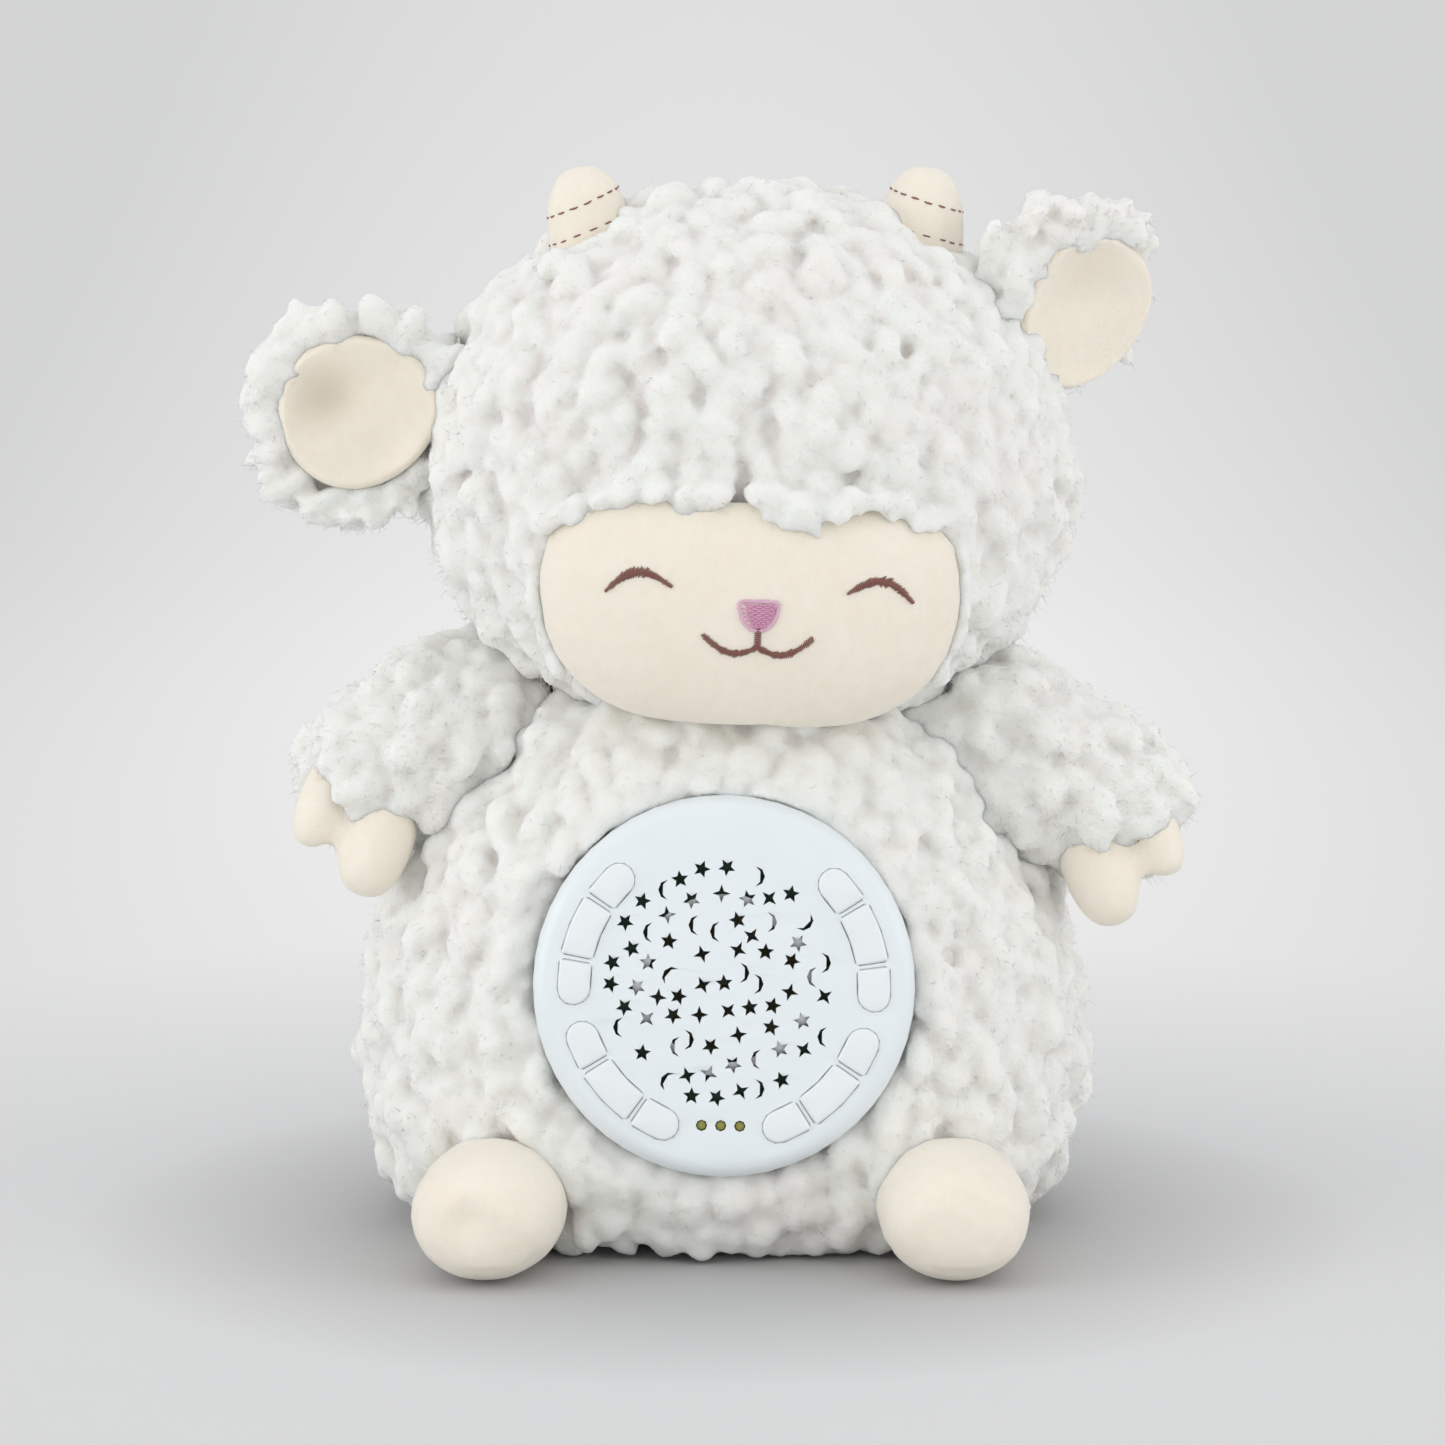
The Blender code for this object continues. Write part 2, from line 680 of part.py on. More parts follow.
def make_head():
    """The head, before the neck, ears and arms are cleared."""
    rows = [
        (rise, width * HEAD_HALF_WIDTH, front * HEAD_FRONT, back * HEAD_BACK)
        for rise, width, front, back in HEAD_SHARES
    ]
    return standing_form(
        "head", rows, HEAD_HEIGHT, HEAD_BOTTOM, HEAD_X, HEAD_SIDES, HEAD_SQUARENESS, FLEECE
    )


def make_face():
    """The padded face panel, tilted with the head."""
    pivot = Matrix.Translation((HEAD_X, 0, FACE_BOTTOM + FACE_HEIGHT / 2))
    frame = pivot @ Matrix.Rotation(FACE_TILT, 4, "Y")
    rings = []
    for rise, width, swell in FACE_SHARES:
        front = FACE_ROOT + (FACE_FRONT - FACE_ROOT) * swell
        centre = Vector((0, -(front + FACE_ROOT) / 2, (rise - 1 / 2) * FACE_HEIGHT))
        across = Vector((width * FACE_HALF_WIDTH, 0, 0))
        along = Vector((0, (front - FACE_ROOT) / 2, 0))
        rings.append(oval(centre, across, along, FACE_SIDES, FACE_SQUARENESS))
    return soft_part("face_panel", rings, VELBOA, frame), frame


# Embroidery


def stroke(points, half_widths):
    """The outline of a stroke along points, with a half width at each."""
    left, right = [], []
    for i, (x, y) in enumerate(points):
        before = points[max(i - 1, 0)]
        after = points[min(i + 1, len(points) - 1)]
        run = Vector((after[0] - before[0], after[1] - before[1])).normalized()
        left.append((x - run.y * half_widths[i], y + run.x * half_widths[i]))
        right.append((x + run.y * half_widths[i], y - run.x * half_widths[i]))
    return left + right[::-1]


def eye_outline():
    """A closed, smiling eye: an arc that thins to its ends."""
    points, halves = [], []
    for i in range(EYE_STEPS + 1):
        share = i / EYE_STEPS
        angle = math.pi * share
        points.append((EYE_WIDTH * (share - 1 / 2), EYE_RISE * math.sin(angle)))
        swell = EYE_TIP_SHARE + (1 - EYE_TIP_SHARE) * math.sin(angle)
        halves.append(STROKE_WIDTH / 2 * swell)
    return stroke(points, halves)


def nose_outline():
    """A rounded triangle, point down."""
    corners = ((-NOSE_WIDTH / 2, 0), (NOSE_WIDTH / 2, 0), (0, -NOSE_DEPTH))
    middle = Vector((0, -NOSE_DEPTH / 3))
    points = []
    for i, corner in enumerate(corners):
        at = Vector(corner)
        before = (Vector(corners[i - 1]) - at).normalized()
        after = (Vector(corners[(i + 1) % 3]) - at).normalized()
        start, end = at + before * NOSE_ROUND, at + after * NOSE_ROUND
        for k in range(NOSE_STEPS + 1):
            t = k / NOSE_STEPS
            points.append(tuple((1 - t) ** 2 * start + 2 * t * (1 - t) * at + t**2 * end))
    turn = sum(
        (Vector(a) - middle).cross(Vector(b) - middle) for a, b in zip(points, points[1:])
    )
    return points if turn > 0 else points[::-1]


def mouth_outline():
    """Two hanging arcs that meet under the nose."""
    points = []
    for side in (-1, 1):
        for i in range(MOUTH_STEPS + 1):
            share = i / MOUTH_STEPS
            if side > 0 and i == 0:
                continue
            out = 1 - share if side < 0 else share
            sag = -MOUTH_DROP * math.sin(math.pi * out) + MOUTH_RISE * out**2
            points.append((side * out * MOUTH_WIDTH / 2, sag))
    return stroke(points, [STROKE_WIDTH / 2] * len(points))


def embroider(name, outline, finish, face, frame, x, z, turn=0.0):
    """A stitched pad: the outline's prism kept between two skins over the face."""
    flat = Matrix.Rotation(math.pi / 2, 4, "X")
    place = frame @ Matrix.Translation((x, -FACE_FRONT, z)) @ flat @ Matrix.Rotation(turn, 4, "Z")
    pad = part(name, outline_mesh(name, [outline], FACE_FRONT), finish, place)
    combine(pad, swollen(face, SEAM_GAP + THREAD_PROUD), "INTERSECT")
    combine(pad, swollen(face, SEAM_GAP))
    return pad


def make_embroidery(face, frame):
    """Eyes, nose and mouth on the face."""
    middle = FACE_HEIGHT / 2
    for name, side in (("eye_left", -1), ("eye_right", 1)):
        x = FEATURE_SHIFT + side * EYE_SPACING / 2
        embroider(
            name, eye_outline(), THREAD, face, frame, x, EYE_HEIGHT - middle, -side * EYE_TILT
        )
    nose_z = NOSE_HEIGHT - middle
    embroider("nose", nose_outline(), PINK_THREAD, face, frame, FEATURE_SHIFT, nose_z)
    mouth_z = nose_z - NOSE_DEPTH - STEM_LENGTH
    mouth = embroider("mouth", mouth_outline(), THREAD, face, frame, FEATURE_SHIFT, mouth_z)
    half, top = STROKE_WIDTH / 2, STEM_LENGTH - SEAM_GAP
    stem = [(-half, 0), (half, 0), (half, top), (-half, top)]
    stem_mesh = outline_mesh("mouth_stem", [stem], FACE_FRONT)
    combine(mouth, cutter("mouth_stem", stem_mesh, mouth.matrix_world.copy()), "UNION")
    mouth.modifiers.move(len(mouth.modifiers) - 1, 0)


# Horns, ears, arms, hands and feet


def make_horns(head):
    """Two cones on top of the head, seated on it."""
    top = HEAD_BOTTOM + HEAD_HEIGHT + HORN_PROUD
    for name, share, lean in (
        ("horn_left", HORN_LEFT_SHARE, HORN_LEFT_LEAN),
        ("horn_right", HORN_RIGHT_SHARE, HORN_RIGHT_LEAN),
    ):
        aim = (math.sin(lean), 0, math.cos(lean))
        tip = Vector((HEAD_X + share * HEAD_HALF_WIDTH, -HORN_SET_BACK, top))
        root = tip - Vector(aim) * HORN_LENGTH
        rows = [(s * HORN_LENGTH, r, r) for s, r in HORN_SHARES]
        place = aimed(root, aim, (0, 1, 0))
        horn = limb(name, rows, HORN_RADIUS, HORN_RADIUS, HORN_SIDES, VELBOA, place)
        combine(horn, swollen(head, SEAM_GAP))


def make_ear(side, shares, aim, twist, head):
    """One ear and its lining, and the room that they need in the head."""
    out, rise = shares
    x, z = HEAD_X + out * HEAD_HALF_WIDTH, HEAD_BOTTOM + rise * HEAD_HEIGHT
    root = Vector((x, -EAR_SET_FORWARD, z))
    turn = Matrix.Rotation(-aim, 4, "Y") @ Matrix.Rotation(twist, 4, "X")
    place = Matrix.Translation(root) @ turn
    rows = [(s * EAR_LENGTH, w, t) for s, w, t in EAR_SHARES]
    ear = limb("ear_" + side, rows, EAR_HALF_WIDTH, EAR_HALF_THICK, EAR_SIDES, FLEECE, place)
    lining_rows = [(LINING_START + s * LINING_LENGTH, w, t) for s, w, t in LINING_SHARES]
    lining_place = shifted(place, 0, LINING_HALF_THICK - EAR_HALF_THICK - LINING_PROUD)
    lining = limb(
        f"ear_{side}_lining", lining_rows, LINING_HALF_WIDTH, LINING_HALF_THICK, EAR_SIDES,
        VELBOA, lining_place,
    )
    combine(lining, swollen(ear, SEAM_GAP))
    pieces = (ear, lining)
    room = swept_room("room_ear_" + side, pieces, root, -EAR_SWING, EAR_SWING, EAR_STOPS)
    combine(head, room)


def lobe_rings(radius):
    """The rings of one lobe of a hand along its own X."""
    rings = []
    for distance, width in LOBE_SHARES:
        reach = radius * width
        centre = Vector((distance * LOBE_LENGTH, 0, 0))
        rings.append(oval(centre, Vector((0, reach, 0)), Vector((0, 0, reach)), LOBE_SIDES))
    return rings


def make_arm(side, sign, reach, aim, hand_aim, body, head):
    """One arm with its cloven hand, and the socket that they swing in."""
    pivot = Vector((sign * SHOULDER_X, SHOULDER_Y, SHOULDER_Z))
    rows = [(s * reach, r, r) for s, r in ARM_SHARES]
    arm = limb("arm_" + side, rows, ARM_RADIUS, ARM_RADIUS, ARM_SIDES, FLEECE, aimed(pivot, aim))
    along = Vector(aim).normalized() * reach * HAND_PLACE_SHARE
    wrist = pivot + along - Vector((0, HAND_FORWARD, 0))
    frame = aimed(wrist, hand_aim, (0, -1, 0))
    spread, splay = sign * LOBE_SPREAD, sign * LOBE_SPLAY
    inner_place = shifted(frame, 0, -spread) @ Matrix.Rotation(-splay, 4, "Z")
    outer_place = shifted(frame, -OUTER_LOBE_LIFT, spread) @ Matrix.Rotation(splay, 4, "Z")
    hand = soft_part("hand_" + side, lobe_rings(INNER_LOBE_RADIUS), VELBOA, inner_place)
    outer_mesh = skin("outer_lobe_" + side, lobe_rings(OUTER_LOBE_RADIUS))
    outer = cutter("outer_lobe_" + side, outer_mesh, outer_place)
    soften(outer)
    first, last = sorted((-sign * ARM_RAISE, sign * ARM_LOWER))
    pieces = (arm, hand, outer)
    room = swept_room("room_arm_" + side, pieces, pivot, first, last, ARM_STOPS)
    combine(body, room)
    combine(head, room)
    combine(hand, outer, "UNION")
    combine(hand, swollen(arm, SEAM_GAP))


def make_feet(body):
    """Two pads in front, seated on the body and flat on the floor."""
    level = FOOT_HALF_HEIGHT * FOOT_SOLE_SHARE - BASE_CUT
    for name, share, splay in (
        ("foot_left", FOOT_LEFT_SHARE, -FOOT_LEFT_SPLAY),
        ("foot_right", FOOT_RIGHT_SHARE, FOOT_RIGHT_SPLAY),
    ):
        front_x = share * BODY_HALF_WIDTH
        aim = (math.sin(splay), -math.cos(splay), 0)
        root = (front_x - aim[0] * FOOT_LENGTH, -FOOT_BACK, level)
        rings = []
        for distance, width in FOOT_SHARES:
            across = Vector((0, FOOT_HALF_WIDTH * width, 0))
            along = Vector((0, 0, FOOT_HALF_HEIGHT * width))
            rings.append(oval(Vector((distance * FOOT_LENGTH, 0, 0)), across, along, FOOT_SIDES))
        foot = soft_part(name, rings, VELBOA, aimed(root, aim))
        combine(foot, swollen(body, SEAM_GAP))
        combine(foot, floor_block())


def floor_block():
    """The hidden block below the floor that flattens what rests on it."""
    if "floor" in bpy.data.objects:
        return bpy.data.objects["floor"]
    reach = BODY_HALF_WIDTH + BODY_FRONT
    return box("floor", (-reach, -reach, -BODY_HEIGHT), (reach, reach, 0))


def make_closure(body):
    """The slit up the back and the two tapes that close it."""
    deep = BODY_BACK - SLIT_DEPTH
    low, high = SLIT_CENTRE - SLIT_LENGTH / 2, SLIT_CENTRE + SLIT_LENGTH / 2
    half = SLIT_WIDTH / 2
    combine(body, box("slit", (-half, deep, low), (half, BODY_BACK + OVERRUN, high)))
    thick = half - FIT_GAP - FIT_GAP / 2
    for name, sign in (("closure_hook_tape", -1), ("closure_loop_tape", 1)):
        inner, outer = sign * FIT_GAP / 2, sign * (FIT_GAP / 2 + thick)
        low_corner = (min(inner, outer), deep + FIT_GAP, low + FIT_GAP)
        high_corner = (max(inner, outer), BODY_BACK + OVERRUN, high - FIT_GAP)
        block = box(name + "_blank", low_corner, high_corner)
        tape = part(name, block.data, TAPE)
        bpy.data.objects.remove(block, do_unlink=True)
        combine(tape, swollen(body, -TAPE_INSET), "INTERSECT")


# Outlines in the module's plate


def star(points, radius, waist, turn, centre):
    """A star with the given number of points."""
    outline = []
    for i in range(2 * points):
        reach = radius if i % 2 == 0 else waist
        angle = turn + math.pi * i / points
        outline.append((centre[0] + reach * math.cos(angle), centre[1] + reach * math.sin(angle)))
    return outline


def moon(turn, centre):
    """A crescent whose horns point along its own +X."""
    height, bulge, thick = (share * GRILLE_RADIUS for share in MOON_SHARES)
    half = height / 2
    outer = [
        (-bulge * math.sin(math.pi * i / (MOON_STEPS + 1)),
         half * math.cos(math.pi * i / (MOON_STEPS + 1)))
        for i in range(MOON_STEPS + 2)
    ]
    hollow = bulge - thick
    inner = [
        (-hollow * math.sin(math.pi * i / MOON_STEPS), -half * math.cos(math.pi * i / MOON_STEPS))
        for i in range(1, MOON_STEPS)
    ]
    c, s = math.cos(turn), math.sin(turn)
    lean = bulge / 2
    return [
        (centre[0] + (x + lean) * c - y * s, centre[1] + (x + lean) * s + y * c)
        for x, y in outer + inner
    ]


def grille_loops():
    """All stars and moons, each star turned a step on from the last."""
    loops = []
    for i, (u, v) in enumerate(STAR_PLACE_SHARES):
        centre = (u * GRILLE_RADIUS, v * GRILLE_RADIUS)
        turn = FULL_TURN * MARK_TURN_SHARE * i
        waist = STAR_RADIUS * STAR_WAIST_SHARE
        loops.append(star(STAR_POINTS, STAR_RADIUS, waist, turn, centre))
    for i, (u, v) in enumerate(CROSS_PLACE_SHARES):
        centre = (u * GRILLE_RADIUS, v * GRILLE_RADIUS)
        turn = FULL_TURN * MARK_TURN_SHARE * i
        waist = CROSS_RADIUS * CROSS_WAIST_SHARE
        loops.append(star(CROSS_POINTS, CROSS_RADIUS, waist, turn, centre))
    for u, v, turn in MOON_PLACE_SHARES:
        centre = (u * GRILLE_RADIUS, v * GRILLE_RADIUS)
        loops.append(moon(FULL_TURN * turn, centre))
    return loops


class Cap(NamedTuple):
    """One button cap's place on its circle, its length and which end is round."""

    name: str
    angle: float
    length: float
    round_end: int


def cap_row():
    """All caps: three to each arc, the outer ones rounded away from the middle one."""
    step = (MIDDLE_CAP_LENGTH / 2 + CAP_SPACING_GAP + END_CAP_LENGTH / 2) / CAP_CIRCLE
    caps = []
    for side, mirror in (("left", 1), ("right", -1)):
        number = 0
        for arc in (UPPER_ARC, LOWER_ARC):
            for offset in (-1, 0, 1):
                number += 1
                angle = arc + offset * step
                angle = angle if mirror > 0 else math.pi - angle
                length = END_CAP_LENGTH if offset else MIDDLE_CAP_LENGTH
                caps.append(Cap(f"button_{side}_{number}", angle, length, offset * mirror))
    return caps


def cap_outline(length, round_end, grow, bend=0.0):
    """A cap's outline, bent to its circle, grown outward by grow.

    Local X runs out from the circle's centre and the cap's middle is at the origin, unless
    bend gives the cap's angle: then the outline stands on its circle round the origin.
    """
    half_length, half_width = length / 2 + grow, CAP_WIDTH / 2 + grow
    corner = CAP_CORNER + grow
    flat = []
    for end in (1, -1):
        reach = end * half_length
        if end == round_end:
            centre = reach - end * half_width
            for i in range(CAP_END_STEPS + 1):
                angle = math.pi * i / CAP_END_STEPS
                c, s = math.cos(angle), math.sin(angle)
                flat.append((centre + end * half_width * s, end * half_width * c))
        else:
            flat += [
                (reach - end * corner, end * half_width),
                (reach, end * (half_width - corner)),
                (reach, -end * (half_width - corner)),
                (reach - end * corner, -end * half_width),
            ]
        if round_end == 0:
            flat.append((0, -end * half_width))
    outline = []
    for along, out in flat:
        angle = bend + along / CAP_CIRCLE
        radius = CAP_CIRCLE + out
        x, y = radius * math.cos(angle), radius * math.sin(angle)
        outline.append((x, y) if bend else (x - CAP_CIRCLE, y))
    return outline


def make_cap_mesh(name, length, round_end):
    """A cap lofted through its levels: crown, window neck, lip and switch stem."""
    lip_top = -(COVER_WALL + FIT_GAP)
    lip_bottom = lip_top - CAP_LIP_DEPTH
    stem_end = -(BOARD_FACE - SWITCH_HEIGHT) + CAP_TRAVEL + FIT_GAP
    levels = (
        (CAP_PROUD, -CAP_SOFT_EDGE),
        (CAP_PROUD - CAP_SOFT_EDGE, 0.0),
        (lip_top, 0.0),
        (lip_top, CAP_LIP),
        (lip_bottom, CAP_LIP),
    )
    rings = [
        [Vector((x, y, z)) for x, y in cap_outline(length, round_end, grow)] for z, grow in levels
    ]
    foot = cap_outline(length, round_end, 0.0)
    shrink = STEM_HALF_LENGTH / (length / 2)
    for z in (lip_bottom, stem_end):
        rings.append([Vector((x * shrink, y * shrink, z)) for x, y in foot])
    mesh = skin(name, rings)
    smooth(mesh)
    return mesh


def make_caps(module):
    """The button caps, each on its own place and sliding square to the plate."""
    meshes = {}
    for cap in cap_row():
        key = (cap.length, cap.round_end)
        if key not in meshes:
            meshes[key] = make_cap_mesh("button_cap", cap.length, cap.round_end)
        x, y = CAP_CIRCLE * math.cos(cap.angle), CAP_CIRCLE * math.sin(cap.angle)
        place = shifted(module, x, y) @ Matrix.Rotation(cap.angle, 4, "Z")
        part(cap.name, meshes[key], CAP_PLASTIC, place)


# The module's rigid pieces


def add_rim(mesh, plate_radius, profile):
    """Swaps a round plate's outer wall for a rim turned from the profile's points."""
    build = bmesh.new()
    build.from_mesh(mesh)
    near = plate_radius - FIT_GAP
    upright = [face for face in build.faces if abs(face.normal.z) < 1 / 2]
    wall = [face for face in upright if all(v.co.xy.length > near for v in face.verts)]
    bmesh.ops.delete(build, geom=wall, context="FACES_ONLY")
    rows = [[build.verts.new((x, y, z)) for x, y in circle(r, ROUND_STEPS)] for r, z in profile]
    for high, low in zip(rows, rows[1:]):
        for i in range(ROUND_STEPS):
            j = (i + 1) % ROUND_STEPS
            build.faces.new((high[i], low[i], low[j], high[j]))
    bmesh.ops.remove_doubles(build, verts=build.verts, dist=OVERRUN * MERGE_SHARE)
    bmesh.ops.recalc_face_normals(build, faces=build.faces)
    build.to_mesh(mesh)
    build.free()


def make_front_cover(module):
    """The pierced plate, its rounded rim and the screw posts behind it."""
    plate_radius = COVER_RADIUS - RIM_ROUND
    loops = [circle(plate_radius, ROUND_STEPS)]
    loops += grille_loops()
    loops += [cap_outline(cap.length, cap.round_end, CAP_GAP, cap.angle) for cap in cap_row()]
    for i in (-1, 0, 1):
        centre = (i * INDICATOR_PITCH, -INDICATOR_DROP)
        loops.append(circle(INDICATOR_HOLE, INDICATOR_STEPS, centre))
    mesh = outline_mesh("front_cover", loops, COVER_WALL)
    mesh.transform(Matrix.Translation((0, 0, -COVER_WALL / 2)))
    inner_round = RIM_ROUND - COVER_WALL
    outer, inner = [], []
    for i in range(RIM_STEPS + 1):
        angle = math.pi / 2 * i / RIM_STEPS
        c, s = math.cos(angle), math.sin(angle)
        outer.append((plate_radius + RIM_ROUND * s, RIM_ROUND * (c - 1)))
        if i % 2 == 0:
            inner.append((plate_radius + inner_round * s, inner_round * c - RIM_ROUND))
    foot = [(COVER_RADIUS, -COVER_DEPTH), (COVER_RADIUS - COVER_WALL, -COVER_DEPTH)]
    add_rim(mesh, plate_radius, [*outer, *foot, *inner[::-1]])
    smooth(mesh)
    cover = part("front_cover", mesh, WHITE_PLASTIC, module)
    depth = BOARD_FACE - FIT_GAP
    for i, (x, y) in enumerate(POST_PLACES):
        profile = [
            (SCREW_RADIUS + FIT_GAP, -COVER_WALL / 2), (POST_RADIUS, -COVER_WALL / 2),
            (POST_RADIUS, -depth), (SCREW_RADIUS + FIT_GAP, -depth),
            (SCREW_RADIUS + FIT_GAP, -COVER_WALL / 2),
        ]
        post = turned(f"post_{i}", profile, POST_STEPS, place=shifted(module, x, y))
        combine(cover, post, "UNION", "MANIFOLD")
    return cover


def make_indicators(module):
    """Three small lamps that fill their holes in the plate."""
    base = -BOARD_FACE + FIT_GAP
    body = INDICATOR_HOLE - FIT_GAP
    shoulder = base + INDICATOR_FOOT_HEIGHT
    dome = -INDICATOR_SET_DOWN
    profile = [
        (0, dome), (body / 2, dome - INDICATOR_DOME / 4), (body, dome - INDICATOR_DOME),
        (body, shoulder), (INDICATOR_FOOT, shoulder), (INDICATOR_FOOT, base), (0, base),
    ]
    for number, i in enumerate((-1, 0, 1), 1):
        place = shifted(module, i * INDICATOR_PITCH, -INDICATOR_DROP)
        turned(f"indicator_light_{number}", profile, INDICATOR_STEPS, LAMP_LENS, place)


def block_at(x, y, turn, side, low, high):
    """The corners of a square block, as rings for one closed skin."""
    half = side / 2
    c, s = math.cos(turn), math.sin(turn)
    corners = [(-half, -half), (half, -half), (half, half), (-half, half)]
    flat = [(x + a * c - b * s, y + a * s + b * c) for a, b in corners]
    return [[Vector((px, py, z)) for px, py in flat] for z in (low, high)]


def make_board(module):
    """The ring board with its switches and lamps soldered on, round the speaker."""
    radius = HOUSING_RADIUS - HOUSING_WALL - 2 * FIT_GAP
    hole = SPEAKER_RADIUS - SPEAKER_SEAT_WIDTH
    loops = [circle(radius, BOARD_STEPS), circle(hole, BOARD_STEPS)]
    mesh = outline_mesh("main_board", loops, BOARD_THICK)
    mesh.transform(Matrix.Translation((0, 0, -BOARD_FACE - BOARD_THICK / 2)))
    board = part("main_board", mesh, BOARD_GREEN, module)
    reach = SCREW_RADIUS + 2 * FIT_GAP
    low, high = -BOARD_FACE - BOARD_THICK - OVERRUN, -BOARD_FACE + OVERRUN
    for i, (x, y) in enumerate(POST_PLACES):
        place = shifted(module, x, y)
        combine(board, rod(f"board_hole_{i}", reach, low, high, POST_STEPS, place=place))
    pieces = bmesh.new()
    spots = [(CAP_CIRCLE, cap.angle, SWITCH_SIDE, SWITCH_HEIGHT) for cap in cap_row()]
    for i in range(LAMP_COUNT):
        angle = FULL_TURN * (i + 1 / 2) / LAMP_COUNT
        spots.append((LAMP_CIRCLE, angle, LAMP_SIDE, LAMP_HEIGHT))
    for distance, angle, side, height in spots:
        x, y = distance * math.cos(angle), distance * math.sin(angle)
        low, high = -BOARD_FACE - SWITCH_SINK, -BOARD_FACE + height
        block = skin("block", block_at(x, y, angle, side, low, high))
        pieces.from_mesh(block)
    fitted = bpy.data.meshes.new("board_parts")
    pieces.to_mesh(fitted)
    pieces.free()
    combine(board, cutter("board_parts", fitted, module), "UNION")


def make_speaker(module):
    """Basket, cone and magnet, its flange on the board's rim."""
    seat = -BOARD_FACE + FIT_GAP
    top = seat + SPEAKER_FLANGE
    throat = SPEAKER_RADIUS - SPEAKER_SEAT_WIDTH - SPEAKER_HOLE_GAP
    back = seat - SPEAKER_DEPTH
    wall = SPEAKER_WALL
    floor = back + wall
    neck = SPEAKER_NECK
    mouth = throat - wall
    profile = [
        (0, floor), (neck - wall, floor), (mouth, seat - BOARD_THICK), (mouth, top),
        (SPEAKER_RADIUS, top), (SPEAKER_RADIUS, seat), (throat, seat),
        (throat, seat - BOARD_THICK - wall), (neck, back), (0, back),
    ]
    turned("speaker_frame", profile, BOARD_STEPS, STEEL, module)
    edge = mouth - FIT_GAP
    rim = top - FIT_GAP
    low = rim - CONE_DROP
    roll, crest = edge * ROLL_SHARE, edge * CREST_SHARE
    shoulder = (DUST_CAP_RADIUS / 2, low + DUST_CAP_RISE * DUST_SHOULDER_SHARE)
    cone = [
        (0, low + DUST_CAP_RISE), shoulder, (DUST_CAP_RADIUS, low),
        (roll, rim - CONE_WALL), (crest, rim), (edge, rim - CONE_WALL),
        (edge, rim - 2 * CONE_WALL), (roll, rim - 2 * CONE_WALL),
        (DUST_CAP_RADIUS, low - CONE_WALL), (0, low - CONE_WALL),
    ]
    turned("speaker_cone", cone, BOARD_STEPS, MYLAR, module)
    magnet_top = back - FIT_GAP
    rod(
        "speaker_magnet", MAGNET_RADIUS, magnet_top - MAGNET_HEIGHT, magnet_top, BOARD_STEPS,
        FERRITE, module,
    )


def make_housing(module):
    """The deep rear cup with its screw bosses."""
    top = -(COVER_WALL + FIT_GAP)
    inner = HOUSING_RADIUS - HOUSING_WALL
    floor = -HOUSING_DEPTH + HOUSING_WALL
    bend = HOUSING_ROUND
    chamfer = bend - HOUSING_WALL
    profile = [
        (0, floor), (inner - chamfer, floor), (inner, floor + chamfer), (inner, top),
        (HOUSING_RADIUS, top), (HOUSING_RADIUS, -HOUSING_DEPTH + bend),
        (HOUSING_RADIUS - bend / 3, -HOUSING_DEPTH + bend / 3),
        (HOUSING_RADIUS - bend, -HOUSING_DEPTH), (0, -HOUSING_DEPTH),
    ]
    housing = turned("rear_housing", profile, ROUND_STEPS, WHITE_PLASTIC, module)
    support = -BOARD_FACE - BOARD_THICK - FIT_GAP
    head_seat = -SCREW_TIP - SCREW_LENGTH
    for i, (x, y) in enumerate(POST_PLACES):
        place = shifted(module, x, y)
        boss = rod(
            f"boss_{i}", BOSS_RADIUS, -HOUSING_DEPTH + HOUSING_WALL / 2, support, POST_STEPS,
            place=place,
        )
        combine(housing, boss, "UNION")
        bore = SCREW_RADIUS + FIT_GAP
        sink = SCREW_HEAD_RADIUS + FIT_GAP
        low = -HOUSING_DEPTH - OVERRUN
        hole = [
            (0, support + OVERRUN), (bore, support + OVERRUN), (bore, head_seat - FIT_GAP),
            (sink, head_seat - FIT_GAP), (sink, low), (0, low),
        ]
        combine(housing, turned(f"screw_hole_{i}", hole, POST_STEPS, place=place))
        under_head = head_seat - 2 * FIT_GAP
        screw = [
            (0, -SCREW_TIP), (SCREW_RADIUS / 2, -SCREW_TIP),
            (SCREW_RADIUS, -SCREW_TIP - SCREW_RADIUS), (SCREW_RADIUS, under_head),
            (SCREW_HEAD_RADIUS, under_head), (SCREW_HEAD_RADIUS, under_head - SCREW_HEAD_HEIGHT),
            (0, under_head - SCREW_HEAD_HEIGHT),
        ]
        turned(f"housing_screw_{i + 1}", screw, POST_STEPS, STEEL, place)
    half_width = SOCKET_WIDTH / 2 + FIT_GAP
    half_height = SOCKET_HEIGHT / 2 + FIT_GAP
    x, y = (share * COVER_RADIUS for share in SOCKET_PLACE_SHARES)
    slot = box(
        "socket_slot", (x - half_width, y - half_height, -HOUSING_DEPTH - OVERRUN),
        (x + half_width, y + half_height, floor + OVERRUN), module,
    )
    combine(housing, slot, solver="MANIFOLD")
    return housing


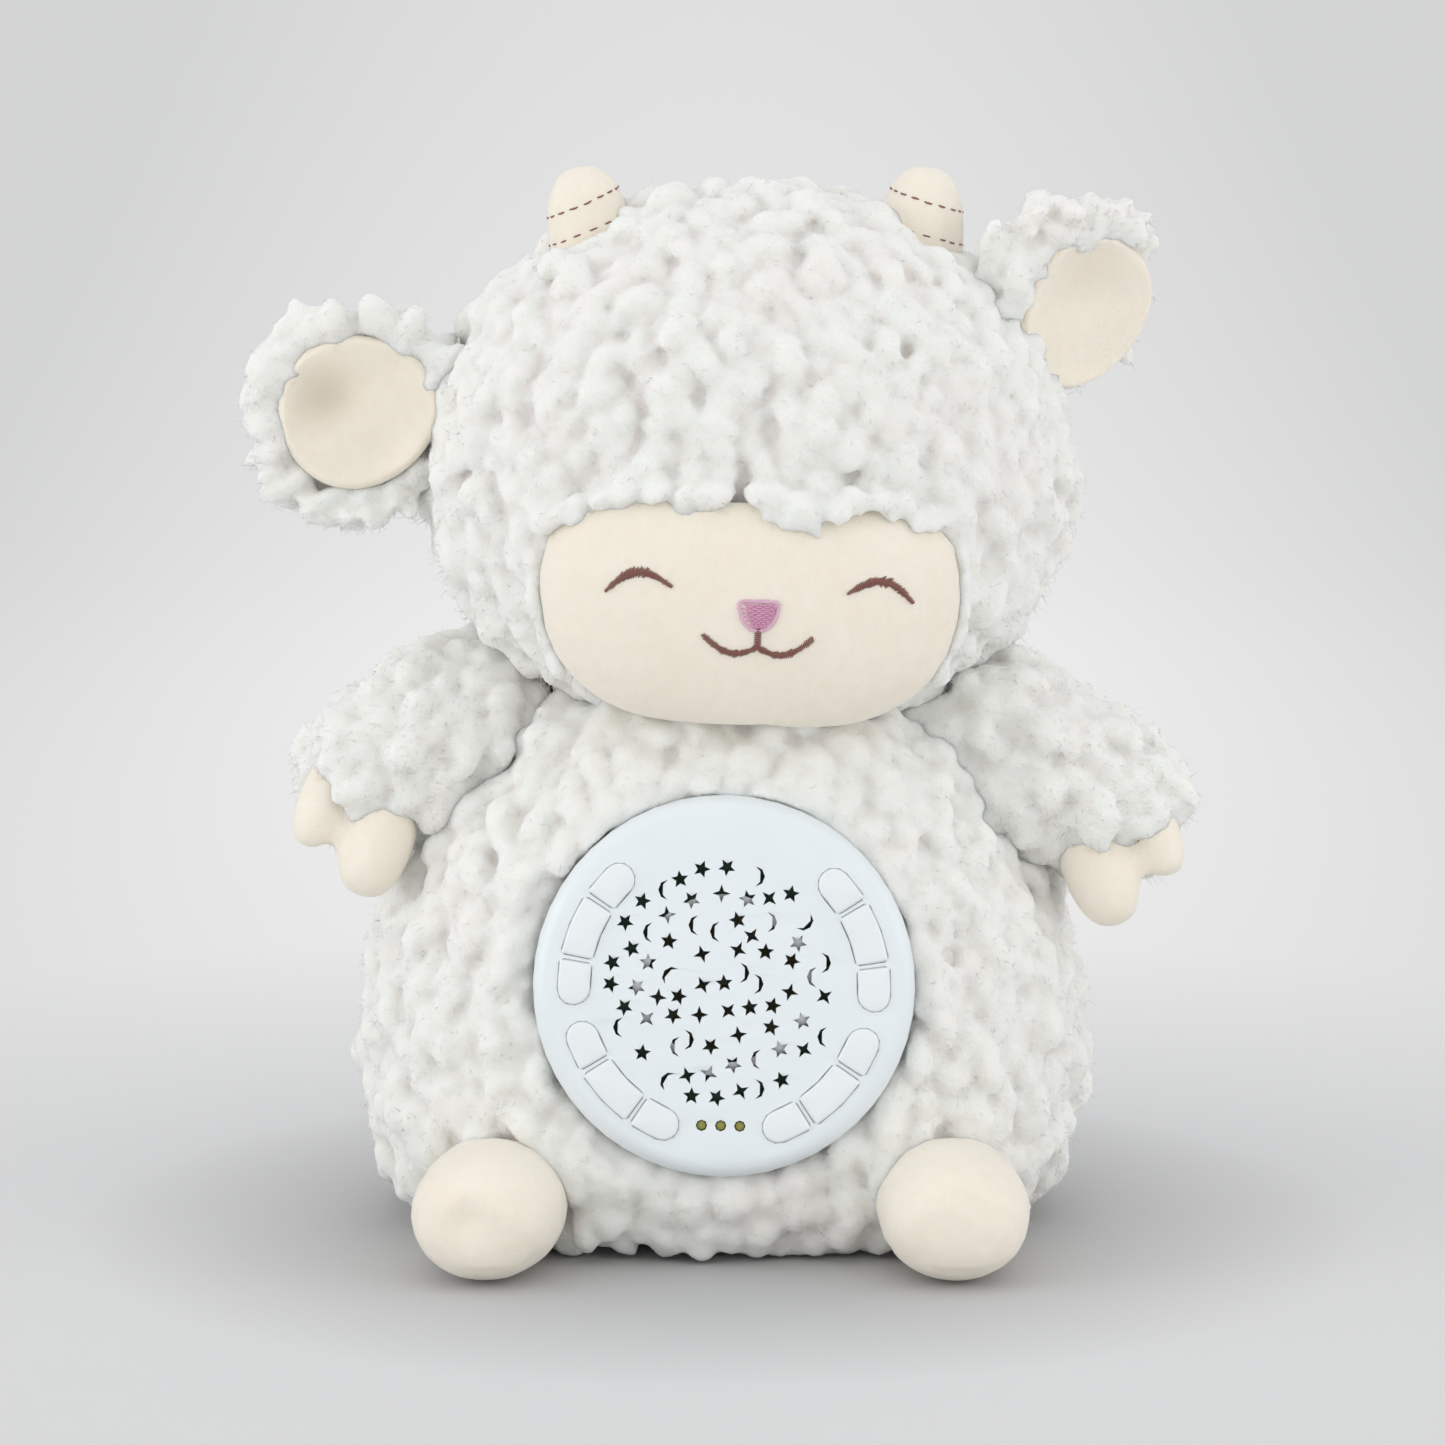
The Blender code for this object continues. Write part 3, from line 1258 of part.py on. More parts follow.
def make_socket(module):
    """The charging socket: a flange inside the wall and a shell through it."""
    x, y = (share * COVER_RADIUS for share in SOCKET_PLACE_SHARES)
    half_width, half_height = SOCKET_WIDTH / 2, SOCKET_HEIGHT / 2
    back = -HOUSING_DEPTH
    inside = back + HOUSING_WALL + FIT_GAP
    top = inside + SOCKET_FLANGE_THICK

    def ring(grow, z):
        w, h = half_width + grow, half_height + grow
        corners = ((-w, -h), (w, -h), (w, h), (-w, h))
        return [Vector((x + a, y + b, z)) for a, b in corners]

    rings = [
        ring(SOCKET_FLANGE, top), ring(SOCKET_FLANGE, inside), ring(0, inside), ring(0, back),
        ring(-SOCKET_MOUTH_WALL, back), ring(-SOCKET_MOUTH_WALL, back + SOCKET_MOUTH_DEPTH),
    ]
    part("charging_socket", skin("charging_socket", rings), STEEL, module)


def make_battery(module):
    """The flat pouch cell on the housing's floor."""
    low = -HOUSING_DEPTH + HOUSING_WALL + FIT_GAP
    half_length, half_width = BATTERY_LENGTH / 2, BATTERY_WIDTH / 2
    block = box(
        "battery_blank", (-half_length, -half_width, low),
        (half_length, half_width, low + BATTERY_HEIGHT),
    )
    cell = part("battery_cell", block.data, FOIL, module)
    bpy.data.objects.remove(block, do_unlink=True)
    step = cell.modifiers.new("round", "BEVEL")
    step.width = BATTERY_ROUND
    step.segments = 2
    step.limit_method = "ANGLE"


def make_pocket(body, module):
    """The hole in the body for the module, and the seat for the cover's rim."""
    reach = HOUSING_RADIUS + POCKET_GAP
    seat = -COVER_DEPTH - FIT_GAP
    rim = COVER_RADIUS + POCKET_GAP
    bottom = -HOUSING_DEPTH - FIT_GAP
    top = OVERRUN * 3
    profile = [(0, top), (rim, top), (rim, seat), (reach, seat), (reach, bottom), (0, bottom)]
    combine(body, turned("pocket", profile, POCKET_STEPS, place=module))


def main():
    """Builds every piece."""
    module = (
        Matrix.Translation(MODULE_PLACE)
        @ Matrix.Rotation(math.pi / 2 - MODULE_TILT, 4, "X")
        @ Matrix.Rotation(MODULE_ROLL, 4, "Z")
    )
    body = make_body()
    head = make_head()
    face, face_frame = make_face()
    make_embroidery(face, face_frame)
    make_feet(body)
    make_closure(body)
    make_horns(head)
    combine(face, swollen(head, SEAM_GAP))
    combine(face, swollen(body, SEAM_GAP))
    combine(head, swollen(body, SEAM_GAP))
    make_ear("left", EAR_LEFT_SHARES, EAR_LEFT_AIM, EAR_LEFT_TWIST, head)
    make_ear("right", EAR_RIGHT_SHARES, EAR_RIGHT_AIM, EAR_RIGHT_TWIST, head)
    make_arm("left", -1, ARM_LEFT_REACH, ARM_LEFT_AIM, HAND_LEFT_AIM, body, head)
    make_arm("right", 1, ARM_RIGHT_REACH, ARM_RIGHT_AIM, HAND_RIGHT_AIM, body, head)
    combine(body, floor_block())
    make_pocket(body, module)
    make_front_cover(module)
    make_caps(module)
    make_indicators(module)
    make_board(module)
    make_speaker(module)
    make_housing(module)
    make_socket(module)
    make_battery(module)


main()
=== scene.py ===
import logging
import math
from dataclasses import dataclass, field
from enum import Enum

import bmesh
import bpy
import numpy as np
from mathutils import Matrix, Vector


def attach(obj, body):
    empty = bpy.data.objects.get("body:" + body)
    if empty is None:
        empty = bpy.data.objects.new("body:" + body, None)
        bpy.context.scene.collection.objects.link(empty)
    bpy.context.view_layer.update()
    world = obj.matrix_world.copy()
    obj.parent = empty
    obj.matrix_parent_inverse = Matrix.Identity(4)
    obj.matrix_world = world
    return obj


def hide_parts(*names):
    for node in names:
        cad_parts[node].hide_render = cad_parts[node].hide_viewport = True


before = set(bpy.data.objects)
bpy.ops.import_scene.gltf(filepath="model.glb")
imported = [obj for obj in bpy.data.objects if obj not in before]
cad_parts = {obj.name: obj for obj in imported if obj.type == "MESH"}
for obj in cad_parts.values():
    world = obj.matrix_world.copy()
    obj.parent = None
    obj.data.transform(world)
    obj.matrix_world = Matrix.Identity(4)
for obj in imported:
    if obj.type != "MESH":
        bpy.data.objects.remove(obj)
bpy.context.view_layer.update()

MM = 0.001
TURN = 2 * math.pi
GOLDEN = (math.sqrt(5) - 1) / 2
LOG = logging.getLogger("lamb")
Array = np.ndarray


# Node materials
class Sheet:
    """One node material under construction."""

    def __init__(self, name: str) -> None:
        """Starts a material with its Principled shader.

        Args:
            name: the material's name.
        """
        self.material = bpy.data.materials.new(name)
        self.material.use_nodes = True
        self.tree = self.material.node_tree
        self.shader = self.tree.nodes["Principled BSDF"]

    def add(self, kind: str, settings: dict | None = None, **inputs: object) -> bpy.types.Node:
        """Adds a node.

        Args:
            kind: the node's type name.
            settings: attributes of the node itself.
            inputs: socket values or output sockets, by the socket's name with _ for a space.

        Returns:
            The new node.
        """
        node = self.tree.nodes.new(kind)
        for key, value in (settings or {}).items():
            setattr(node, key, value)
        for key, value in inputs.items():
            self.put(node.inputs[key.replace("_", " ")], value)
        return node

    def put(self, socket: bpy.types.NodeSocket, value: object) -> None:
        """Sets a socket to a value, or links an output to it.

        Args:
            socket: the socket to feed.
            value: a plain value or an output socket.
        """
        if isinstance(value, bpy.types.NodeSocket):
            self.tree.links.new(value, socket)
        else:
            socket.default_value = value

    def place(self) -> bpy.types.NodeSocket:
        """The point in object coordinates."""
        return self.add("ShaderNodeTexCoord").outputs["Object"]

    def noise(self, vector: bpy.types.NodeSocket, scale: float,
              detail: float = 3.0) -> bpy.types.NodeSocket:
        """A noise value from 0 to 1 at a scale per metre."""
        node = self.add("ShaderNodeTexNoise", None, Vector=vector, Scale=scale, Detail=detail)
        return node.outputs["Fac"]

    def attribute(self, name: str) -> bpy.types.NodeSocket:
        """A number that the mesh carries at its vertices."""
        return self.add("ShaderNodeAttribute", {"attribute_name": name}).outputs["Fac"]

    def ramp(self, value: bpy.types.NodeSocket, low: float, high: float,
             first: float = 0.0, last: float = 1.0) -> bpy.types.NodeSocket:
        """Maps value from low..high to first..last, held at both ends.

        Args:
            value: the socket to map.
            low: the value that becomes first.
            high: the value that becomes last.
            first: the result at low.
            last: the result at high.

        Returns:
            The mapped value's socket.
        """
        node = self.add("ShaderNodeMapRange")
        for index, number in enumerate((value, low, high, first, last)):
            self.put(node.inputs[index], number)
        return node.outputs["Result"]

    def mix(self, share: object, first: object, second: object) -> bpy.types.NodeSocket:
        """Mixes two colours.

        Args:
            share: 0 for the first colour, 1 for the second.
            first: a colour or a socket.
            second: a colour or a socket.

        Returns:
            The mixed colour's socket.
        """
        node = self.add("ShaderNodeMix", {"data_type": "RGBA"})
        for index, value in ((0, share), (6, first), (7, second)):
            if isinstance(value, tuple):
                value = (*value, 1.0)
            self.put(node.inputs[index], value)
        return node.outputs[2]

    def math(self, operation: str, first: object, second: object) -> bpy.types.NodeSocket:
        """One sum, product or the like of two numbers.

        Args:
            operation: the node's operation.
            first: a number or a socket.
            second: a number or a socket.

        Returns:
            The result's socket.
        """
        node = self.add("ShaderNodeMath", {"operation": operation})
        self.put(node.inputs[0], first)
        self.put(node.inputs[1], second)
        return node.outputs[0]

    def bump(self, height: bpy.types.NodeSocket, distance: float, strength: float = 1.0) -> None:
        """Feeds a height into the shader's normal."""
        node = self.add("ShaderNodeBump", None, Height=height, Distance=distance, Strength=strength)
        self.put(self.shader.inputs["Normal"], node.outputs["Normal"])

    def set(self, **values: object) -> None:
        """Sets or links the shader's own sockets.

        Args:
            values: values or sockets, by the socket's name with _ for a space.
        """
        for key, value in values.items():
            if isinstance(value, tuple) and len(value) == 3 and "Color" in key:
                value = (*value, 1.0)
            self.put(self.shader.inputs[key.replace("_", " ")], value)


@dataclass(frozen=True)
class Fleece:
    """Curly off-white pile: soft light under the surface, painted shade in the hollows, a fine fibrous
    relief.
    """

    name: str = "fleece"
    slot: str = "fleece"
    tip: tuple = (0.84, 0.845, 0.805)
    warm: tuple = (0.84, 0.82, 0.785)
    # root: painted shade, the colour of the hollows between locks and of thin fibre tips
    root: tuple = (0.815, 0.785, 0.75)
    sheen: float = 0.2

    def material(self) -> bpy.types.Material:
        """Builds the node material.

        Returns:
            The material.
        """
        sheet = Sheet(self.name)
        place = sheet.place()
        patch = sheet.ramp(sheet.noise(place, 38.0, 2.0), 0.46, 0.7)
        tone = sheet.mix(patch, self.tip, self.warm)
        # Painted shade: the attribute rise mixes the root colour into the hollows and low places of the
        # coat.
        rise = sheet.ramp(sheet.attribute("rise"), 0.05, 0.72)
        colour = sheet.mix(rise, self.root, tone)
        fibre = sheet.noise(place, 420.0, 3.0)
        fuzz = sheet.noise(place, 1500.0, 3.0)
        sheet.bump(sheet.math("ADD", sheet.math("MULTIPLY", fibre, 1.2), fuzz), 0.45 * MM, 0.7)
        sheet.set(
            Base_Color=colour, Roughness=0.95, Sheen_Weight=self.sheen, Sheen_Roughness=0.6,
            Subsurface_Weight=0.8, Subsurface_Scale=1.0,
            Subsurface_Radius=(5.0 * MM, 4.4 * MM, 4.0 * MM), Specular_IOR_Level=0.1,
        )
        return sheet.material


@dataclass(frozen=True)
class ShortPile:
    """Smooth velboa or woven tape: mottled, faintly streaked by the lie of the pile, with painted shade in a
    cupped dent.
    """

    name: str = "velboa"
    slot: str = "velboa"
    colour: tuple = (0.90, 0.835, 0.725)
    shade: tuple = (0.87, 0.795, 0.67)
    sheen: float = 0.35
    relief: float = 0.25 * MM
    # Painted shade: the colour of a cupped dent, mixed in by the mesh attribute of the same name.
    hollow: tuple = (0.73, 0.64, 0.51)

    def material(self) -> bpy.types.Material:
        """Builds the node material.

        Returns:
            The material.
        """
        sheet = Sheet(self.name)
        place = sheet.place()
        stretch = sheet.add("ShaderNodeMapping", None, Vector=place, Scale=(1.0, 1.0, 0.6))
        brushed = sheet.noise(stretch.outputs["Vector"], 330.0, 4.0)
        broad = sheet.noise(place, 45.0, 2.0)
        pile = sheet.noise(place, 2300.0, 2.0)
        share = sheet.ramp(sheet.math("MULTIPLY", sheet.math("ADD", brushed, broad), 0.5), 0.38, 0.68)
        tone = sheet.mix(share, self.colour, self.shade)
        # Painted shade in the ear lining's dent.
        tone = sheet.mix(sheet.attribute("hollow"), tone, self.hollow)
        sheet.bump(sheet.math("ADD", pile, sheet.math("MULTIPLY", brushed, 0.6)), self.relief, 0.7)
        sheet.set(
            Base_Color=tone, Roughness=0.9,
            Sheen_Weight=self.sheen, Sheen_Roughness=0.5, Subsurface_Weight=0.2,
            Subsurface_Radius=(2.4 * MM, 1.8 * MM, 1.2 * MM), Subsurface_Scale=1.0,
            Specular_IOR_Level=0.1,
        )
        return sheet.material


@dataclass(frozen=True)
class Thread:
    """Shiny embroidery thread with a fine twist, and painted shade where a strand is thin."""

    name: str
    slot: str
    colour: tuple
    # Painted shade: the colour where a strand is thin, mixed in by the attribute rise.
    painted_thin_shade: tuple
    roughness: float = 0.45

    def material(self) -> bpy.types.Material:
        """Builds the node material.

        Returns:
            The material.
        """
        sheet = Sheet(self.name)
        place = sheet.place()
        twist = sheet.noise(place, 2600.0, 2.0)
        # Painted shade where a strand is thinner than 0.6 of its thickest.
        lay = sheet.ramp(sheet.attribute("rise"), 0.0, 0.6)
        colour = sheet.mix(lay, self.painted_thin_shade, self.colour)
        sheet.bump(twist, 0.12 * MM, 0.6)
        sheet.set(Base_Color=colour, Roughness=self.roughness, Sheen_Weight=0.2, Sheen_Roughness=0.4)
        return sheet.material


@dataclass(frozen=True)
class Moulding:
    """Moulded plastic: a fine spark texture, slight gloss and tone changes."""

    name: str
    slot: str
    colour: tuple
    roughness: float = 0.32
    relief: float = 0.02 * MM
    grain: float = 5200.0
    depth: float = 0.12
    metallic: float = 0.0

    def material(self) -> bpy.types.Material:
        """Builds the node material.

        Returns:
            The material.
        """
        sheet = Sheet(self.name)
        place = sheet.place()
        shade = tuple(c * (1 - self.depth) for c in self.colour)
        cloud = sheet.ramp(sheet.noise(place, 60.0, 3.0), 0.3, 0.75)
        speck = sheet.noise(place, self.grain, 2.0)
        handled = sheet.noise(place, 140.0, 3.0)
        gloss = sheet.ramp(handled, 0.3, 0.7, self.roughness - 0.04, self.roughness + 0.06)
        sheet.bump(speck, self.relief, 0.6)
        sheet.set(
            Base_Color=sheet.mix(cloud, self.colour, shade), Roughness=gloss, Metallic=self.metallic,
            Specular_IOR_Level=0.5,
        )
        return sheet.material


class Wear(Enum):
    """The finishes of the toy. Both pinks share one of the record's slots."""

    FLEECE = Fleece()
    VELBOA = ShortPile()
    TAPE = ShortPile("closure_tape", "closure_tape", (0.8, 0.79, 0.75), (0.68, 0.67, 0.63), 0.2, 0.3 * MM)
    BROWN = Thread("brown_thread", "brown_thread", (0.235, 0.095, 0.07), (0.09, 0.03, 0.025))
    PINK = Thread("pink_thread", "pink_thread", (0.74, 0.35, 0.54), (0.45, 0.15, 0.3))
    PALE_PINK = Thread("pink_border", "pink_thread", (0.86, 0.55, 0.70), (0.55, 0.24, 0.4))
    COVER = Moulding("white_plastic", "white_plastic", (0.80, 0.855, 0.875), 0.34, depth=0.02)
    CAP = Moulding("cap_plastic", "cap_plastic", (0.83, 0.865, 0.87), 0.38, depth=0.02)
    LENS = Moulding("lamp_lens", "lamp_lens", (0.33, 0.32, 0.06), 0.2, depth=0.5, grain=1600.0)
    BOARD = Moulding("board", "board", (0.03, 0.16, 0.08), 0.45, depth=0.5, grain=900.0)
    STEEL = Moulding("steel", "steel", (0.55, 0.56, 0.58), 0.3, metallic=1.0, depth=0.2)
    MYLAR = Moulding("mylar", "mylar", (0.19, 0.17, 0.10), 0.3, depth=0.3)
    FERRITE = Moulding("ferrite", "ferrite", (0.07, 0.07, 0.08), 0.6, depth=0.3)
    FOIL = Moulding(
        "battery_foil", "battery_foil", (0.62, 0.64, 0.67), 0.35, metallic=0.6, relief=0.08 * MM, grain=700.0
    )


class Wardrobe:
    """Makes each finish's material once and dresses pieces in it."""

    def __init__(self) -> None:
        """Starts with nothing made."""
        self.made: dict[Wear, bpy.types.Material] = {}

    def material(self, wear: Wear) -> bpy.types.Material:
        """The finish's material.

        Args:
            wear: the finish.

        Returns:
            Its material.
        """
        if wear not in self.made:
            self.made[wear] = wear.value.material()
        return self.made[wear]

    def dress(self, piece: bpy.types.Object, wear: Wear, body: str, *nodes: str) -> bpy.types.Object:
        """Gives a new piece its finish, its body and the CAD nodes that it stands for.

        Args:
            piece: the finished mesh object.
            wear: its finish.
            body: the CAD body that it rides on.
            nodes: the CAD nodes that it replaces.

        Returns:
            The same piece.
        """
        piece.data.materials.clear()
        piece.data.materials.append(self.material(wear))
        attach(piece, body)
        if nodes:
            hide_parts(*nodes)
        LOG.info("%s: %d faces on %s", piece.name, len(piece.data.polygons), body)
        return piece

    def repaint(self, node: str, wear: Wear) -> None:
        """Gives a CAD node the finish through its object's slot.

        Args:
            node: the CAD node's name.
            wear: its finish.
        """
        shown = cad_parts[node]
        if not shown.material_slots:
            shown.data.materials.append(None)
        for place in shown.material_slots:
            place.link = "OBJECT"
            place.material = self.material(wear)


# Surfaces
def unit(vectors: Array) -> Array:
    """Vectors brought to length 1."""
    return vectors / np.maximum(np.linalg.norm(vectors, axis=-1, keepdims=True), 1e-12)


def spline_weights(places: Array, count: int, closed: bool) -> Array:
    """Weights of the uniform cubic B-spline.

    A place t lies between controls i and i + 1; its four controls weigh (1-f)^3/6,
    (3f^3-6f^2+4)/6, (-3f^3+3f^2+3f+1)/6 and f^3/6, where f is t - i. Open rows hold
    their end controls, so that the curve reaches them at -1 and count.

    Args:
        places: places along the row of controls.
        count: how many controls there are.
        closed: whether the row closes on itself.

    Returns:
        One row of weights for each place.
    """
    base = np.floor(places).astype(int)
    f = places - base
    parts = (
        (1 - f) ** 3 / 6,
        (3 * f**3 - 6 * f**2 + 4) / 6,
        (-3 * f**3 + 3 * f**2 + 3 * f + 1) / 6,
        f**3 / 6,
    )
    weights = np.zeros((len(places), count))
    rows = np.arange(len(places))
    for step, part in enumerate(parts):
        index = base + step - 1
        index = index % count if closed else np.clip(index, 0, count - 1)
        np.add.at(weights, (rows, index), part)
    return weights


def oval(sides: int, squareness: float) -> tuple[Array, Array]:
    """A unit ring: (cos a)^(2/q) and (sin a)^(2/q) with their signs, swollen by 1/cos(pi/sides).

    Args:
        sides: points in the ring.
        squareness: 2 for an ellipse, more for a squarer ring.

    Returns:
        The ring's X and Y.
    """
    angle = TURN * np.arange(sides) / sides
    power = 2 / squareness
    swell = 1 / math.cos(math.pi / sides)
    wide = np.sign(np.cos(angle)) * np.abs(np.cos(angle)) ** power * swell
    deep = np.sign(np.sin(angle)) * np.abs(np.sin(angle)) ** power * swell
    return wide, deep


@dataclass
class Form:
    """A stuffed form: the cubic B-spline surface of a cage of rings, closed at both poles."""

    cage: Array

    @classmethod
    def standing(cls, rows: Array, height: float, low: float, centre: float, half: float, front: float,
                 back: float, sides: int, squareness: float) -> "Form":
        """A form from level ovals, each row a height, half width, front and back share.

        Args:
            rows: rows of height, half width, front and back share.
            height: the height of share 1 over share 0.
            low: the height of share 0.
            centre: X of the middle.
            half: the half width of share 1.
            front: the reach of front share 1 toward -Y.
            back: the reach of back share 1 toward +Y.
            sides: points in a ring.
            squareness: the ovals' squareness.

        Returns:
            The form.
        """
        wide, deep = oval(sides, squareness)
        rise, width, ahead, behind = (rows[:, k : k + 1] for k in range(4))
        middle = (behind * back - ahead * front) / 2
        reach = (behind * back + ahead * front) / 2
        x = centre + width * half * wide
        y = middle + reach * deep
        z = low + rise * height + 0 * wide
        return cls(np.stack((x, y, z), axis=-1))

    @classmethod
    def limb(cls, rows: Array, half_width: float, half_thick: float, sides: int, place: Matrix) -> "Form":
        """A form along its own X, each row a distance, a width share and a thickness share.

        Args:
            rows: rows of distance, width share and thickness share.
            half_width: half the width of share 1.
            half_thick: half the thickness of share 1.
            sides: points in a ring.
            place: the form's own frame.

        Returns:
            The form.
        """
        wide, deep = oval(sides, 2.0)
        x = rows[:, :1] + 0 * wide
        y = rows[:, 2:3] * half_thick * wide
        z = rows[:, 1:2] * half_width * deep
        local = np.stack((x, y, z, np.ones_like(x)), axis=-1)
        return cls((local @ np.array(place, float).T)[..., :3])

    def controls(self) -> Array:
        """The cage with a pole ring at each end.

        Returns:
            Points of shape rings + 2, sides, 3.
        """
        first = np.broadcast_to(self.cage[0].mean(0), self.cage[0].shape)
        last = np.broadcast_to(self.cage[-1].mean(0), self.cage[0].shape)
        return np.concatenate((first[None], self.cage, last[None]))

    def at(self, rows: Array, columns: Array) -> Array:
        """Points at matching row and column places.

        Args:
            rows: places along the form.
            columns: places round it.

        Returns:
            One point for each place.
        """
        cage = self.controls()
        along = spline_weights(rows, len(cage), False)
        round_ = spline_weights(columns, cage.shape[1], True)
        return np.einsum("nr,rsc,ns->nc", along, cage, round_)

    def grid(self, rows: int, columns: int) -> Array:
        """A grid of points between the poles.

        Args:
            rows: rings from pole to pole.
            columns: points in a ring.

        Returns:
            Points of shape rows, columns, 3.
        """
        cage = self.controls()
        along = spline_weights(np.linspace(-1, len(cage), rows + 2)[1:-1], len(cage), False)
        round_ = spline_weights(np.linspace(0, cage.shape[1], columns, endpoint=False), cage.shape[1], True)
        return np.einsum("ar,rsc,bs->abc", along, cage, round_)

    def normals(self, rows: Array, columns: Array) -> Array:
        """Outward unit normals from the cross product of two small steps.

        Args:
            rows: places along the form.
            columns: places round it.

        Returns:
            One normal for each place.
        """
        step = 0.02
        along = self.at(rows + step, columns) - self.at(rows - step, columns)
        round_ = self.at(rows, columns + step) - self.at(rows, columns - step)
        normal = unit(np.cross(round_, along))
        outward = self.at(rows, columns) - self.cage.mean((0, 1))
        return normal * np.where((normal * outward).sum(-1, keepdims=True) < 0, -1.0, 1.0)

    def scatter(self, spacing: float, seed: int) -> tuple[Array, Array]:
        """Even places over the form.

        Place i of n takes the row below which i/n of the area lies, and turns on from the
        place before it by the golden ratio of a full turn. A small random step hides the order.

        Args:
            spacing: the distance between neighbours in metres.
            seed: the random seed.

        Returns:
            Points and outward unit normals.
        """
        rng = np.random.default_rng(seed)
        fine_rows, fine_columns = 90, 120
        grid = self.grid(fine_rows, fine_columns)
        along = np.diff(grid, axis=0)
        round_ = (np.roll(grid, -1, axis=1) - grid)[:-1]
        area = np.linalg.norm(np.cross(along, round_), axis=-1)
        count = int(area.sum() / spacing**2)
        index = np.arange(count)
        total = np.concatenate(([0.0], np.cumsum(area.sum(1))))
        depth = (index + rng.uniform(0.2, 0.8, count)) / count * total[-1]
        span = np.linspace(-1, len(self.cage) + 2, fine_rows + 2)[1:-1]
        rows = np.interp(depth, total, span)
        sweep = np.concatenate(([0.0], np.cumsum(area.sum(0))))
        share = np.mod(index * GOLDEN + rng.normal(0, 0.004, count), 1.0)
        columns = np.interp(share * sweep[-1], sweep, np.arange(fine_columns + 1))
        columns = columns * self.cage.shape[1] / fine_columns
        return self.at(rows, columns), self.normals(rows, columns)

    def depth(self, points: Array) -> Array:
        """Signed distance from the surface, above 0 outside, by the nearest of its grid points.

        Args:
            points: the points to measure.

        Returns:
            One distance for each point.
        """
        rows, columns = 40, 44
        grid = self.grid(rows, columns).reshape(-1, 3)
        span = np.linspace(-1, len(self.cage) + 2, rows + 2)[1:-1]
        round_ = np.linspace(0, self.cage.shape[1], columns, endpoint=False)
        along, across = (part.ravel() for part in np.meshgrid(span, round_, indexing="ij"))
        normal = self.normals(along, across)
        square = (grid**2).sum(1)
        block = 8192
        result = np.empty(len(points))
        for start in range(0, len(points), block):
            part = points[start : start + block]
            near = (square - 2 * part @ grid.T).argmin(1)
            result[start : start + block] = ((part - grid[near]) * normal[near]).sum(1)
        return result


def loft_mesh(name: str, grids: Array, poles: Array, **attributes: Array) -> bpy.types.Object:
    """One object from many closed lofts.

    Args:
        name: the object's name.
        grids: points of shape lofts, rings, sides, 3.
        poles: the two end points of each loft, of shape lofts, 2, 3.
        attributes: values of shape lofts, rings (or lofts, rings, sides, 3 for a vector).

    Returns:
        A new linked object with its faces outward.
    """
    lofts, rings, sides = grids.shape[:3]
    each = rings * sides + 2
    points = np.concatenate((grids.reshape(lofts, -1, 3), poles), axis=1).reshape(-1, 3)
    ring, side = np.meshgrid(np.arange(rings - 1), np.arange(sides), indexing="ij")
    onward = (side + 1) % sides
    here, next_ = ring * sides, (ring + 1) * sides
    quads = np.stack((here + side, next_ + side, next_ + onward, here + onward), -1).reshape(-1, 4)
    around = np.arange(sides)
    ahead = (around + 1) % sides
    last = (rings - 1) * sides
    low = np.stack((np.full(sides, rings * sides), around, ahead), -1)
    high = np.stack((np.full(sides, rings * sides + 1), last + ahead, last + around), -1)
    tris = np.concatenate((low, high))
    shift = (np.arange(lofts) * each)[:, None, None]
    corners = np.concatenate(((quads[None] + shift).ravel(), (tris[None] + shift).ravel()))
    sizes = np.concatenate((np.full(lofts * len(quads), 4), np.full(lofts * len(tris), 3)))
    mesh = bpy.data.meshes.new(name)
    mesh.vertices.add(len(points))
    mesh.vertices.foreach_set("co", points.ravel())
    mesh.loops.add(len(corners))
    mesh.loops.foreach_set("vertex_index", corners.astype(np.int32))
    mesh.polygons.add(len(sizes))
    mesh.polygons.foreach_set("loop_start", np.concatenate(([0], np.cumsum(sizes)[:-1])).astype(np.int32))
    mesh.polygons.foreach_set("use_smooth", np.ones(len(sizes), bool))
    mesh.update(calc_edges=True)
    mesh.validate()
    for key, values in attributes.items():
        if values.ndim == 2:
            full = np.repeat(values[..., None], sides, axis=2).reshape(lofts, -1)
            full = np.concatenate((full, values[:, :1], values[:, -1:]), axis=1)
            layer, part = mesh.attributes.new(key, "FLOAT", "POINT"), "value"
        else:
            ends = values[:, (0, -1)].mean(2)
            full = np.concatenate((values.reshape(lofts, -1, 3), ends), axis=1)
            layer, part = mesh.attributes.new(key, "FLOAT_VECTOR", "POINT"), "vector"
        layer.data.foreach_set(part, full.ravel().astype(np.float32))
    made = bpy.data.objects.new(name, mesh)
    bpy.context.scene.collection.objects.link(made)
    face_out(made)
    return made


def face_out(piece: bpy.types.Object) -> None:
    """Turns every closed shell's faces outward.

    Args:
        piece: the mesh object.
    """
    build = bmesh.new()
    build.from_mesh(piece.data)
    bmesh.ops.recalc_face_normals(build, faces=build.faces)
    build.to_mesh(piece.data)
    build.free()


def tubes(name: str, spines: Array, radius: Array, sides: int, up: Array) -> bpy.types.Object:
    """Thin closed strands along spines.

    The ring at each spine point is its side vector times cos plus its lift vector times sin,
    times the radius there.

    Args:
        name: the object's name.
        spines: points of shape strands, steps, 3.
        radius: radii of shape strands, steps.
        sides: points in a ring.
        up: the direction away from the cloth, of shape strands, 3.

    Returns:
        The new object.
    """
    run = unit(np.gradient(spines, axis=1))
    across = unit(np.cross(run, up[:, None, :]))
    lift = np.cross(across, run)
    angle = TURN * np.arange(sides)[:, None] / sides
    ring = across[:, :, None] * np.cos(angle) + lift[:, :, None] * np.sin(angle)
    grids = spines[:, :, None] + ring * radius[:, :, None, None]
    poles = spines[:, (0, -1)]
    # The radius share is stored as rise: the fleece and thread materials paint shade where a strand is thin.
    share = np.clip(radius / radius.max(), 0, 1)
    return loft_mesh(name, grids, poles, rise=share)


